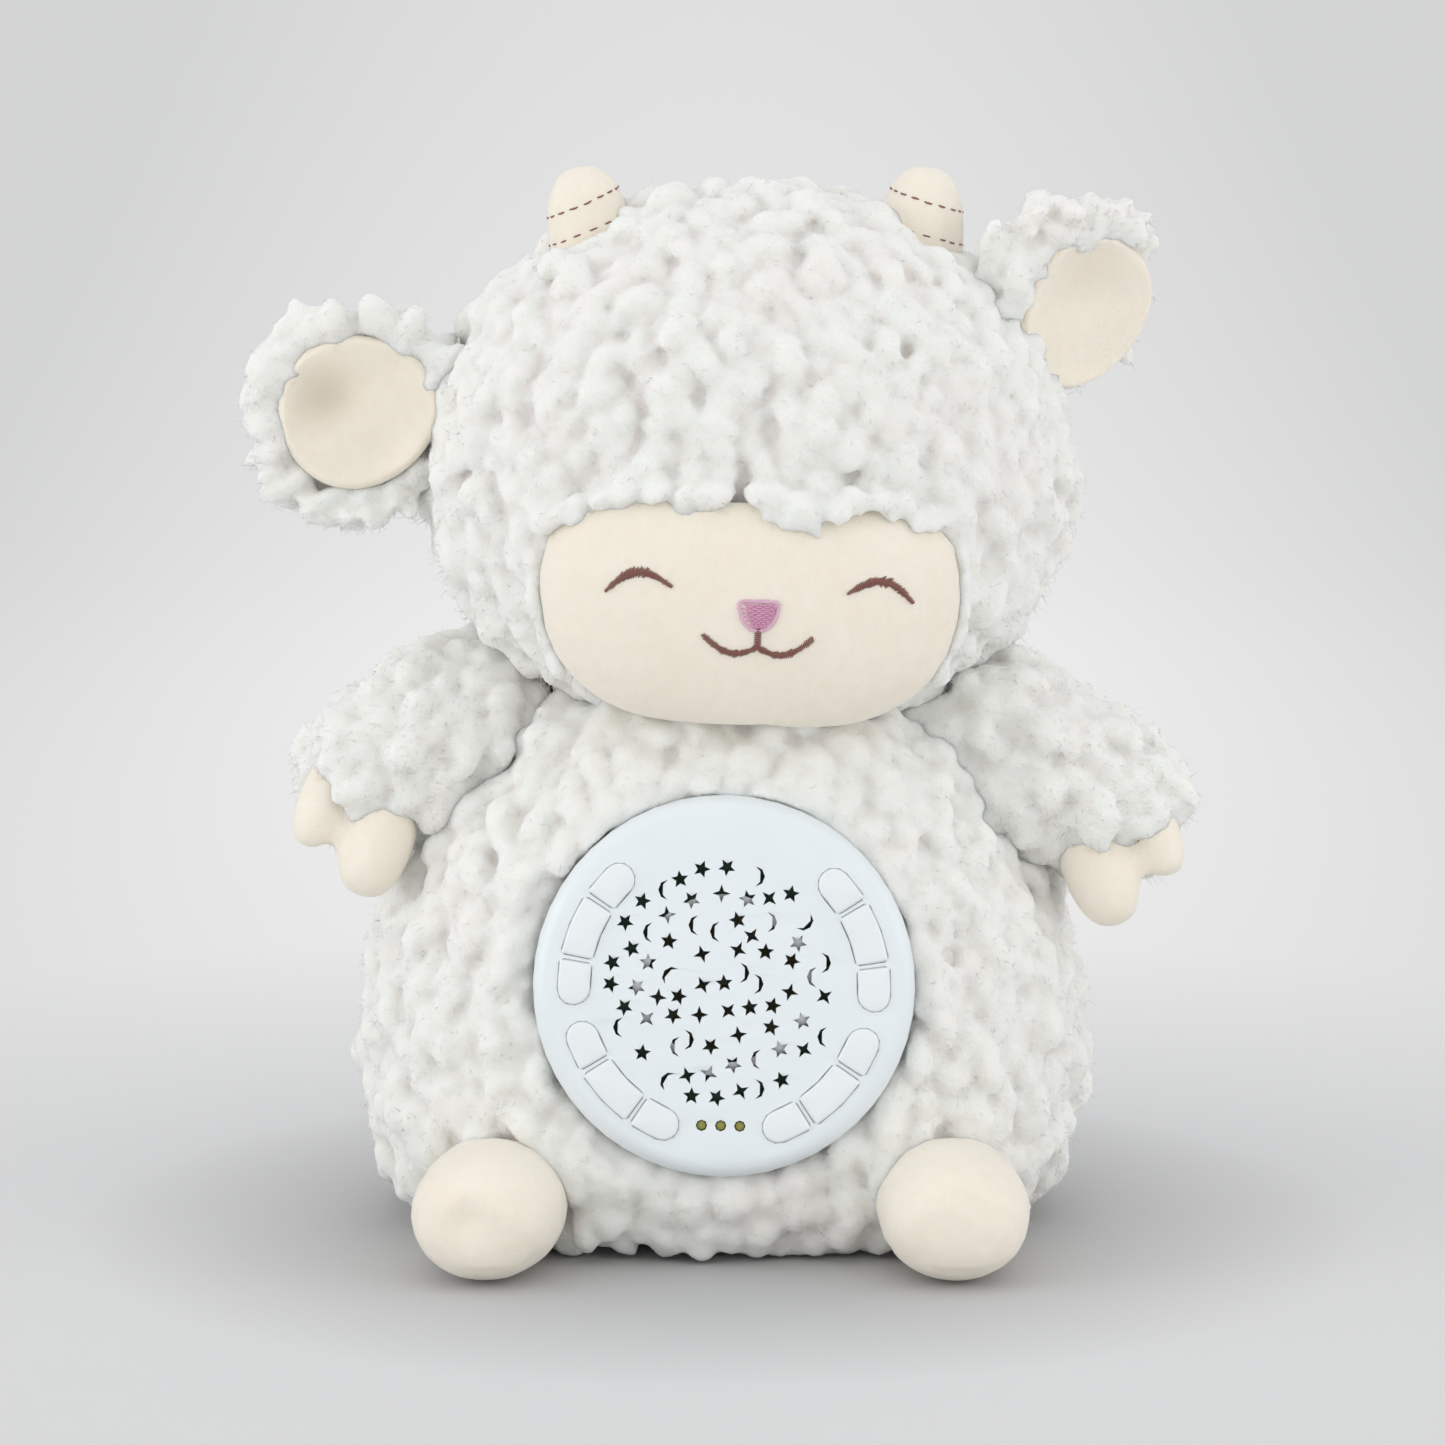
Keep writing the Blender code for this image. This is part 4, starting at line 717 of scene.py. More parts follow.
def height_over(cloth: Array, across: Array, up: Array) -> Array:
    """How far forward a cloth's front lies at places in the X-Z plane.

    It is the mean of all front points, each weighed by 1 / (distance^2 + e)^3, so that only
    the nearest count.

    Args:
        cloth: the cloth's front points.
        across: X of each place.
        up: Z of each place.

    Returns:
        Y of the cloth at each place.
    """
    gap = (across[:, None] - cloth[None, :, 0]) ** 2 + (up[:, None] - cloth[None, :, 2]) ** 2
    weight = 1 / (gap + (0.5 * MM) ** 2) ** 3
    return (weight * cloth[None, :, 1]).sum(1) / weight.sum(1)


def aimed(origin: tuple, aim: tuple, upright: tuple = (0, 0, 1)) -> Matrix:
    """A frame at origin whose X looks along aim and whose Z stays near upright.

    Args:
        origin: the frame's origin.
        aim: where its X looks.
        upright: what its Z stays near.

    Returns:
        The frame.
    """
    x = Vector(aim).normalized()
    y = Vector(upright).cross(x).normalized()
    z = x.cross(y)
    return Matrix.Translation(origin) @ Matrix((x, y, z)).transposed().to_4x4()


# Soft cloth from the frame's solids
def copy_solid(node: str, name: str) -> bpy.types.Object:
    """A merged copy of a CAD node's mesh as a new object.

    Args:
        node: the CAD node's name.
        name: the new object's name.

    Returns:
        The new object.
    """
    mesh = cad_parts[node].data.copy()
    mesh.name = name
    build = bmesh.new()
    build.from_mesh(mesh)
    bmesh.ops.remove_doubles(build, verts=build.verts, dist=0.01 * MM)
    bmesh.ops.recalc_face_normals(build, faces=build.faces)
    build.to_mesh(mesh)
    build.free()
    made = bpy.data.objects.new(name, mesh)
    bpy.context.scene.collection.objects.link(made)
    return made


def freeze(piece: bpy.types.Object) -> None:
    """Takes the modifiers' result as the mesh itself.

    Args:
        piece: the object whose modifiers are taken up.
    """
    bpy.context.view_layer.update()
    graph = bpy.context.evaluated_depsgraph_get()
    mesh = bpy.data.meshes.new_from_object(piece.evaluated_get(graph))
    piece.modifiers.clear()
    piece.data = mesh
    mesh.name = piece.name


def points_of(piece: bpy.types.Object) -> Array:
    """The mesh's points as an array.

    Args:
        piece: the mesh object.

    Returns:
        Points of shape vertices, 3.
    """
    points = np.empty(len(piece.data.vertices) * 3)
    piece.data.vertices.foreach_get("co", points)
    return points.reshape(-1, 3)


def normals_of(piece: bpy.types.Object) -> Array:
    """The mesh's vertex normals as an array.

    Args:
        piece: the mesh object.

    Returns:
        Unit normals of shape vertices, 3.
    """
    normals = np.empty(len(piece.data.vertices) * 3)
    piece.data.vertices.foreach_get("normal", normals)
    return normals.reshape(-1, 3)


def set_points(piece: bpy.types.Object, points: Array) -> None:
    """Writes points back into the mesh."""
    piece.data.vertices.foreach_set("co", points.ravel())
    piece.data.update()


def remesh(piece: bpy.types.Object, voxel: float) -> None:
    """Even quads of the voxel's size.

    Args:
        piece: the mesh object.
        voxel: the size of a quad in metres.
    """
    step = piece.modifiers.new("remesh", "REMESH")
    step.mode = "VOXEL"
    step.voxel_size = voxel
    step.use_smooth_shade = True
    freeze(piece)


def relax(piece: bpy.types.Object, rounds: int, factor: float = 0.5) -> None:
    """Smooths the mesh.

    Args:
        piece: the mesh object.
        rounds: how often it is smoothed.
        factor: how far a point goes in a round.
    """
    step = piece.modifiers.new("smooth", "SMOOTH")
    step.iterations = rounds
    step.factor = factor
    freeze(piece)


@dataclass
class Cloth:
    """Sewn cloth round stuffing: the solid is drawn in a little and blown out again."""

    voxel: float = 2.4 * MM
    inset: float = 1.2 * MM
    cap: float = 2.2 * MM
    pressure: float = 4.0
    shrink: float = -0.04
    frames: int = 20

    def inflate(self, piece: bpy.types.Object) -> None:
        """Runs the cloth from frame 1 and keeps its shape, each point moved by cap at most.

        Args:
            piece: the solid, which becomes cloth.
        """
        remesh(piece, self.voxel)
        rest = points_of(piece) - normals_of(piece) * self.inset
        set_points(piece, rest)
        cloth = piece.modifiers.new("cloth", "CLOTH")
        cloth.settings.quality = 5
        cloth.settings.mass = 0.2
        cloth.settings.tension_stiffness = 12
        cloth.settings.bending_stiffness = 0.3
        cloth.settings.use_pressure = True
        cloth.settings.uniform_pressure_force = self.pressure
        cloth.settings.shrink_min = self.shrink
        cloth.settings.effector_weights.gravity = 0
        cloth.collision_settings.use_collision = False
        cloth.point_cache.frame_start = 1
        cloth.point_cache.frame_end = self.frames
        for number in range(1, self.frames + 1):
            bpy.context.scene.frame_set(number)
        freeze(piece)
        bpy.context.scene.frame_set(1)
        move = points_of(piece) - rest
        length = np.linalg.norm(move, axis=1, keepdims=True)
        set_points(piece, rest + move * np.minimum(1.0, self.cap / np.maximum(length, 1e-9)))
        relax(piece, 2)

    def finish(self, piece: bpy.types.Object) -> None:
        """Adds one subdivision and smooth shading.

        Args:
            piece: the cloth.
        """
        step = piece.modifiers.new("soft", "SUBSURF")
        step.levels = step.render_levels = 1
        freeze(piece)
        piece.data.shade_smooth()


# Fleece
class Lay(Enum):
    """How the locks of a piece lie: spread of direction, lift and curl."""

    HANGING = (0.42, 1.0, 0.8)
    TOUSLED = (0.62, 0.95, 0.9)
    RIM = (0.7, 1.35, 1.3)
    FRINGE = (0.45, 0.8, 0.8)


@dataclass
class Shaper:
    """What presses the pile aside: the floor and the module's round rim."""

    axis: Array
    centre: Array
    rim: float = 50.3 * MM
    floor: float = 0.5 * MM

    def press(self, points: Array) -> Array:
        """Points pushed up from the floor and out from the rim.

        Args:
            points: the pile's points.

        Returns:
            The points, pressed aside.
        """
        offset = points - self.centre
        along = offset @ self.axis
        flat = offset - along[:, None] * self.axis
        distance = np.linalg.norm(flat, axis=1)
        near = (distance < self.rim) & (along > -8 * MM) & (along < 30 * MM)
        push = np.where(near, self.rim / np.maximum(distance, 1e-6), 1.0)
        points = points + flat * (push - 1)[:, None]
        points[:, 2] = np.maximum(points[:, 2], self.floor)
        return points


@dataclass
class Pile:
    """Curly pile: cotton locks that grow into one soft surface, with loose fibres on it.

    A lock has a length, a radius, a lift over the cloth and a root under it. It is smoothed blend
    times and roughened by grain. Its mean height is taken over spread rounds of neighbours, and
    what lies more than pit under it is filled in as many rounds as fills says. A loose fibre is as
    long and as thick as fibre says, and none stands lower than clear.
    """

    length: float = 12.0 * MM
    radius: float = 3.75 * MM
    lift: float = 5.2 * MM
    root: float = 5.7 * MM
    voxel: float = 1.15 * MM
    blend: int = 5
    rings: int = 6
    sides: int = 6
    coarse: float = 1.15
    grain: float = 0.25 * MM
    spread: int = 22
    pit: float = 0.9 * MM
    fills: int = 3
    fibre: tuple = (1.9 * MM, 0.13 * MM)
    clear: float = 9 * MM

    def swirl(self, points: Array, spread: float, rng: np.random.Generator) -> Array:
        """A turn for each lock: slow waves over the cloth plus a random part.

        Args:
            points: where the locks stand.
            spread: how far the turns reach, in radians.
            rng: the random numbers.

        Returns:
            One angle for each lock.
        """
        waves = rng.normal(0, TURN / (38 * MM), (3, 3))
        phase = rng.uniform(0, TURN, 3)
        slow = np.sin(points @ waves.T + phase).sum(1) / 1.7
        return spread * (0.8 * slow + 0.6 * rng.normal(0, 1, len(points)))

    def locks(self, name: str, points: Array, normals: Array, flow: Array, lay: Lay, seed: int,
              size: Array | float = 1.0) -> bpy.types.Object:
        """Locks on the cloth at points.

        A lock's spine at s from 0 to 1 is point - root n + lift sin(0.62 pi s) n
        + length (s^1.2 - 0.25) d + curl sin(0.8 TURN s + phase) c, where n is the cloth's normal,
        d the lie and c the side direction. The radius at s is
        radius sin(pi (0.14 + 0.74 s^1.35))^0.55, a little more or less at random, and the ring is
        flattened and twisted a little.

        Args:
            name: the object's name.
            points: where the locks stand.
            normals: the cloth's unit normals there.
            flow: the way the pile hangs there.
            lay: how the locks lie.
            seed: the random seed.
            size: a share of the standard size for each lock.

        Returns:
            The new object.
        """
        rng = np.random.default_rng(seed)
        count = len(points)
        spread, raise_, curl = lay.value
        size = np.broadcast_to(size, count) * rng.uniform(0.72, 1.22, count)
        side = unit(np.cross(normals, flow))
        down = np.cross(side, normals)
        turn = self.swirl(points, spread, rng)
        lie = unit(down * np.cos(turn)[:, None] + side * np.sin(turn)[:, None])
        cross = np.cross(normals, lie)
        s = np.linspace(0, 1, self.rings)[None, :, None]
        long = (self.length * size * rng.uniform(0.75, 1.2, count))[:, None, None]
        high = (self.lift * size * raise_ * rng.uniform(0.6, 1.4, count))[:, None, None]
        wave = (1.3 * MM * curl * rng.normal(0, 1, count))[:, None, None]
        phase = rng.uniform(0, TURN, count)[:, None, None]
        n, d, c = normals[:, None], lie[:, None], cross[:, None]
        spine = (
            points[:, None] + n * (high * np.sin(0.62 * math.pi * s) - self.root)
            + d * long * (s**1.2 - 0.25) + c * wave * np.sin(0.8 * TURN * s + phase)
        )
        run = unit(np.gradient(spine, axis=1))
        wide = unit(np.cross(run, n + 0.2 * d))
        thick = np.cross(wide, run)
        swell = np.sin(math.pi * (0.14 + 0.74 * s[..., 0] ** 1.35)) ** 0.55
        radius = self.radius * size[:, None] * swell * rng.uniform(0.85, 1.18, (count, self.rings))
        angle = TURN * np.arange(self.sides)[None, None] / self.sides
        angle = angle + (s[..., 0] * rng.normal(0, 0.9, (count, 1)))[..., None]
        lumps = rng.uniform(0.94, 1.06, (count, self.rings, self.sides))
        ring = wide[:, :, None] * np.cos(angle)[..., None] * 1.05
        ring = ring + thick[:, :, None] * np.sin(angle)[..., None] * 0.85
        grids = spine[:, :, None] + ring * (radius[..., None] * lumps)[..., None]
        start = spine[:, 0] - run[:, 0] * radius[:, :1] * 0.5
        end = spine[:, -1] + run[:, -1] * radius[:, -1:] * 0.8
        return loft_mesh(name, grids, np.stack((start, end), 1))

    def coat(self, name: str, skin: bpy.types.Object, locks: list[bpy.types.Object], form: Form,
             shape: Shaper | None = None) -> bpy.types.Object:
        """Grows the cloth and its locks together into one soft surface.

        All shells are remeshed as one, smoothed, and roughened along the normal by the sum of
        sines of a few short waves. A pit whose height h over the plain form lies more than
        0.9 mm under the mean m round about is filled: its point moves toward the mean place
        round about by the share (m - h - 0.9 mm) / (m - h), three times over. The attribute rise is 0 in the
        hollows between the locks and 1 on their crests: 0.5 + (h - m) / 2.6 mm + (h + 2 mm) / 18 mm.
        It carries painted shade: the fleece material mixes its root colour in where rise is low.

        Args:
            name: the coat's name.
            skin: the cloth under the pile.
            locks: the lock objects.
            form: the plain form.
            shape: what presses the pile aside.

        Returns:
            The coat.
        """
        bpy.ops.object.select_all(action="DESELECT")
        for item in [skin, *locks]:
            item.select_set(True)
        bpy.context.view_layer.objects.active = skin
        bpy.ops.object.join()
        skin.name = skin.data.name = name
        if shape is not None:
            set_points(skin, shape.press(points_of(skin)))
        remesh(skin, self.voxel)
        relax(skin, self.blend)
        points, normals = points_of(skin), normals_of(skin)
        rng = np.random.default_rng(5)
        waves = rng.normal(0, TURN / (4.6 * MM), (7, 3))
        rough = np.sin(points @ waves.T + rng.uniform(0, TURN, 7)).sum(1) / 7
        points = points + normals * (rough * self.grain)[:, None]
        points[:, 2] = np.maximum(points[:, 2], 0.3 * MM)
        set_points(skin, points)
        for _ in range(self.fills):
            height = form.depth(points)
            level, *middle = spread_out(skin, np.stack((height, *points.T)), self.spread)
            under = level - height
            share = np.clip((under - self.pit) / np.maximum(under, self.pit), 0, 1)
            points = points + (np.stack(middle, -1) - points) * share[:, None]
        # Painted shade: rise is low in the hollows between locks and in low places, where the fleece
        # material mixes in its root colour.
        rise = np.clip(0.5 + (height - level) / (2.6 * MM) + (height + 2.0 * MM) / (18.0 * MM), 0, 1)
        set_points(skin, points)
        layer = skin.data.attributes.new("rise", "FLOAT", "POINT")
        layer.data.foreach_set("value", rise.astype(np.float32))
        skin.data.shade_smooth()
        return skin

    def fuzz(self, name: str, coat: bpy.types.Object, spacing: float, seed: int,
             share: float = 1.0) -> bpy.types.Object:
        """Loose fibres that stand off the coat in small curls.

        A fibre at t from 0 to 1 is its root + length t (lie + stand n) + bend t^2 sideways
        + curl t sin(0.8 TURN t + phase) n, where n is the coat's normal and stand lies between
        0.25 and 1.1; it thins from root to tip.

        Args:
            name: the object's name.
            coat: the surface that the fibres stand on.
            spacing: the distance between neighbours.
            seed: the random seed.
            share: a share of the standard fibre length.

        Returns:
            The new object.
        """
        rng = np.random.default_rng(seed)
        points, normals = points_of(coat), normals_of(coat)
        order = rng.permutation(len(points))
        wanted = int(len(points) * (self.voxel / spacing) ** 2)
        chosen = order[:wanted]
        points, normals = points[chosen], normals[chosen]
        high = points[:, 2] > self.clear
        points, normals = points[high], normals[high]
        count, steps = len(points), 3
        lie = unit(np.cross(normals, rng.normal(0, 1, (count, 3))) + np.array((0, 0, -0.7)))
        side = unit(np.cross(normals, lie))
        longest, thickest = self.fibre
        length = (longest * share * rng.uniform(0.5, 1.5, count))[:, None, None]
        t = np.linspace(0, 1, steps)[None, :, None]
        bend = (1.2 * MM * rng.normal(0, 1, count))[:, None, None]
        curl = (0.7 * MM * rng.normal(0, 1, count))[:, None, None]
        stand = rng.uniform(0.25, 1.1, count)[:, None, None]
        phase = rng.uniform(0, TURN, count)[:, None, None]
        out = normals[:, None]
        spine = (
            points[:, None] - out * 0.4 * MM + length * t * (lie[:, None] + stand * out)
            + bend * t**2 * side[:, None] + curl * t * np.sin(TURN * 0.8 * t + phase) * out
        )
        spine[..., 2] = np.maximum(spine[..., 2], 0.5 * MM)
        radius = (thickest * rng.uniform(0.6, 1.3, count))[:, None] * (1 - 0.75 * t[..., 0])
        return tubes(name, spine, radius, 3, side)


def spread_out(piece: bpy.types.Object, rows: Array, rounds: int) -> Array:
    """Rows of values at the mesh's points, each brought near the mean of its neighbours.

    Args:
        piece: the mesh object.
        rows: values of shape rows, points.
        rounds: how often a value takes 0.6 of its neighbours' mean.

    Returns:
        The new rows.
    """
    edges = np.empty(len(piece.data.edges) * 2, np.int32)
    piece.data.edges.foreach_get("vertices", edges)
    first, second = edges.reshape(-1, 2).T
    count = rows.shape[1]
    near = np.maximum(np.bincount(edges, minlength=count), 1)
    for _ in range(rounds):
        around = [
            np.bincount(first, row[second], count) + np.bincount(second, row[first], count) for row in rows
        ]
        rows = 0.4 * rows + 0.6 * np.stack(around) / near
    return rows


def base_skin(node: str, name: str, voxel: float, depth: float = 2.8 * MM) -> bpy.types.Object:
    """The cloth under the pile: the CAD form, evened out and drawn in by the pile's depth.

    Args:
        node: the CAD node's name.
        name: the new object's name.
        voxel: the size of the cloth's quads.
        depth: how far the cloth is drawn in.

    Returns:
        The cloth.
    """
    skin = copy_solid(node, name)
    Cloth(voxel=voxel, inset=1.6 * MM, cap=2.0 * MM).inflate(skin)
    for _ in range(4):
        set_points(skin, points_of(skin) - normals_of(skin) * (depth / 4))
        relax(skin, 1)
    return skin


@dataclass
class Stuffing:
    """The sizes that the body, the head and the face share with the frame."""

    body_rows: tuple = (
        (-0.012, 0.62, 0.64, 0.62), (0.026, 0.89, 0.91, 0.88), (0.15, 0.975, 0.995, 0.975),
        (0.33, 1.0, 1.0, 1.0), (0.53, 0.95, 0.965, 0.97), (0.69, 0.83, 0.885, 0.87),
        (0.83, 0.66, 0.755, 0.74), (0.935, 0.48, 0.58, 0.57), (1.0, 0.26, 0.32, 0.32),
    )
    head_rows: tuple = (
        (0.0, 0.32, 0.34, 0.34), (0.05, 0.55, 0.63, 0.63), (0.16, 0.79, 0.87, 0.85),
        (0.31, 0.97, 0.98, 0.97), (0.49, 1.0, 1.0, 1.0), (0.67, 0.935, 0.935, 0.945),
        (0.83, 0.77, 0.76, 0.78), (0.94, 0.51, 0.49, 0.51), (1.0, 0.23, 0.22, 0.22),
    )

    def body(self) -> Form:
        """The sitting body's form."""
        rows = np.array(self.body_rows)
        return Form.standing(rows, 156 * MM, 0.0, 0.0, 97 * MM, 76 * MM, 72 * MM, 14, 2.35)

    def head(self) -> Form:
        """The head's form."""
        rows = np.array(self.head_rows)
        return Form.standing(rows, 145 * MM, 134 * MM, 7 * MM, 87 * MM, 64 * MM, 62 * MM, 14, 2.2)


@dataclass
class Trunk:
    """Body and head in fleece.

    Locks stand spacing apart, outside the module's hole and the closure's slit, whose half width,
    middle height and half height slit gives. A ring of locks stands between the two distances of
    rim from the module's axis, and behind is how far back along that axis both reach.
    """

    wardrobe: Wardrobe
    forms: Stuffing
    module: Matrix
    spacing: float = 5.6 * MM
    hole: float = 51.8 * MM
    rim: tuple = (51.5 * MM, 54.0 * MM)
    behind: float = 35 * MM
    slit: tuple = (6.5 * MM, 66 * MM, 40 * MM)
    pile: Pile = field(default_factory=Pile)

    def build(self) -> None:
        """Makes the coats of the body and the head."""
        body, head = self.forms.body(), self.forms.head()
        self.body_coat(body, head)
        self.head_coat(body, head)

    def dress(self, coat: bpy.types.Object, node: str, fill: float, seed: int) -> None:
        """Finishes a coat and gives it its fibres.

        Args:
            coat: the coat.
            node: the CAD node that it replaces.
            fill: how firmly it is stuffed; not used.
            seed: the fibres' random seed.
        """
        fuzz = self.pile.fuzz(node + "_fuzz", coat, 4.2 * MM, seed, 0.95)
        self.wardrobe.dress(coat, Wear.FLEECE, "toy", node)
        self.wardrobe.dress(fuzz, Wear.FLEECE, "toy")

    def body_coat(self, body: Form, head: Form) -> None:
        """Locks that hang down the body, pressed aside by the module's rim.

        Args:
            body: the body's form.
            head: the head's form.
        """
        axis = np.array(self.module.to_3x3() @ Vector((0, 0, 1)))
        centre = np.array(self.module.translation)
        points, normals = body.scatter(self.spacing, 11)
        offset = points - centre
        along = offset @ axis
        distance = np.linalg.norm(offset - along[:, None] * axis, axis=1)
        half, middle, reach = self.slit
        slit = (np.abs(points[:, 0]) < half) & (points[:, 1] > 0) & (np.abs(points[:, 2] - middle) < reach)
        keep = (points[:, 2] > 3.5 * MM) & ~((distance < self.hole) & (along > -self.behind)) & ~slit
        keep &= head.depth(points) > -2.5 * MM
        points, normals = points[keep], normals[keep]
        flow = np.broadcast_to(np.array((0.0, 0.0, -1.0)), points.shape)
        skin = base_skin("body", "body_cloth", 3.2 * MM)
        locks = self.pile.locks("body_locks", points, normals, flow, Lay.HANGING, 21)
        near, out = body.scatter(2.2 * MM, 13)
        offset = near - centre
        along = offset @ axis
        distance = np.linalg.norm(offset - along[:, None] * axis, axis=1)
        ring = (distance > self.rim[0]) & (distance < self.rim[1]) & (along > -self.behind)
        near, out = thin(near[ring], out[ring], 4.6 * MM)
        flow = np.array((0.0, 0.0, -0.02)) + (near - centre) * 0.3
        rim = self.pile.locks("rim_locks", near, out, flow, Lay.HANGING, 23, 0.85)
        coat = self.pile.coat("body_fleece", skin, [locks, rim], body, Shaper(axis, centre))
        self.dress(coat, "body", 0.85, 71)

    def head_coat(self, body: Form, head: Form) -> None:
        """Locks of the head, more tousled, and the fringe over the face's upper edge.

        Args:
            body: the body's form.
            head: the head's form.
        """
        points, normals = head.scatter(self.spacing * 0.98, 12)
        face = (np.abs(points[:, 0] - 7 * MM) < 47 * MM) & (points[:, 1] < -25 * MM)
        face &= (points[:, 2] > 147 * MM) & (points[:, 2] < 198 * MM)
        keep = ~face & (body.depth(points) > -2.0 * MM)
        for tip, lean, free in ((-38.5 * MM, -11, 13.5 * MM), (54.5 * MM, 5, 11.0 * MM)):
            aim = np.array((math.sin(math.radians(lean)), 0, math.cos(math.radians(lean))))
            offset = points - np.array((tip, -2 * MM, 284.3 * MM))
            keep &= np.linalg.norm(offset - (offset @ aim)[:, None] * aim, axis=1) > free
        points, normals = points[keep], normals[keep]
        crown = np.array((7 * MM, 0.01, 0.30))
        flow = unit(points - crown) + np.array((0.0, 0.0, -0.8))
        skin = base_skin("head", "head_cloth", 3.2 * MM)
        locks = self.pile.locks("head_locks", points, normals, flow, Lay.TOUSLED, 22, 0.95)
        fringe = self.fringe(copy_solid("face_panel", "face_guide"))
        coat = self.pile.coat("head_fleece", skin, [locks, *fringe], head)
        self.dress(coat, "head", 0.9, 72)

    def fringe(self, panel: bpy.types.Object) -> list[bpy.types.Object]:
        """Locks over the face's upper edge and round curls along it, lower right of the middle.

        Args:
            panel: a copy of the face's solid, which is used up.

        Returns:
            The locks over the edge and the curls along it.
        """
        remesh(panel, 2.2 * MM)
        points, normals = points_of(panel), normals_of(panel)
        bpy.data.objects.remove(panel, do_unlink=True)
        rng = np.random.default_rng(41)
        x, z = points[:, 0], points[:, 2]
        chosen = np.flatnonzero((z > self.hairline(x)) & (points[:, 1] < -35 * MM))
        rng.shuffle(chosen)
        spots, out = thin(points[chosen], normals[chosen], 4.8 * MM)
        edge = (np.abs(x - 7 * MM) > 50 * MM) & (points[:, 1] > -52 * MM) & (z > 150 * MM) & (z < 198 * MM)
        side, side_out = thin(points[edge], normals[edge], 4.4 * MM)
        along = np.arange(-44, 60, 6.6) * MM + rng.uniform(-1, 1, 16) * MM
        wanted = np.stack((along, self.hairline(along) + rng.uniform(2.0, 5.0, 16) * MM), -1)
        front = points[:, 1] < -35 * MM
        gap = ((points[front][:, (0, 2)][None] - wanted[:, None]) ** 2).sum(-1)
        nearest = np.flatnonzero(front)[gap.argmin(1)]
        size = np.concatenate((np.full(len(spots), 0.95), np.full(len(side), 0.8)))
        spots, out = np.concatenate((spots, side)), np.concatenate((out, side_out))
        flow = np.array((0.0, 0.0, -1.0)) + 0.3 * rng.normal(0, 1, spots.shape)
        pile = Pile(length=7.0 * MM, lift=3.0 * MM, radius=3.3 * MM, root=1.0 * MM)
        locks = pile.locks("fringe_locks", spots, out, flow, Lay.FRINGE, 42, size)
        round_pile = Pile(length=6.5 * MM, lift=1.6 * MM, radius=4.5 * MM, root=-0.6 * MM)
        flow = np.array((0.0, 0.0, -1.0)) + 0.35 * rng.normal(0, 1, (16, 3))
        curls = round_pile.locks("fringe_curls", points[nearest], normals[nearest], flow, Lay.FRINGE, 43)
        return [locks, curls]

    def hairline(self, x: Array) -> Array:
        """The fringe's edge: z = 206.5 - 9 exp(-((x - 21) / 11)^2) - 0.0046 (x - 5)^2 mm."""
        wave = 206.5 * MM - 9 * MM * np.exp(-(((x - 21 * MM) / (11 * MM)) ** 2))
        return wave - 0.0046 * ((x - 5 * MM) / MM) ** 2 * MM


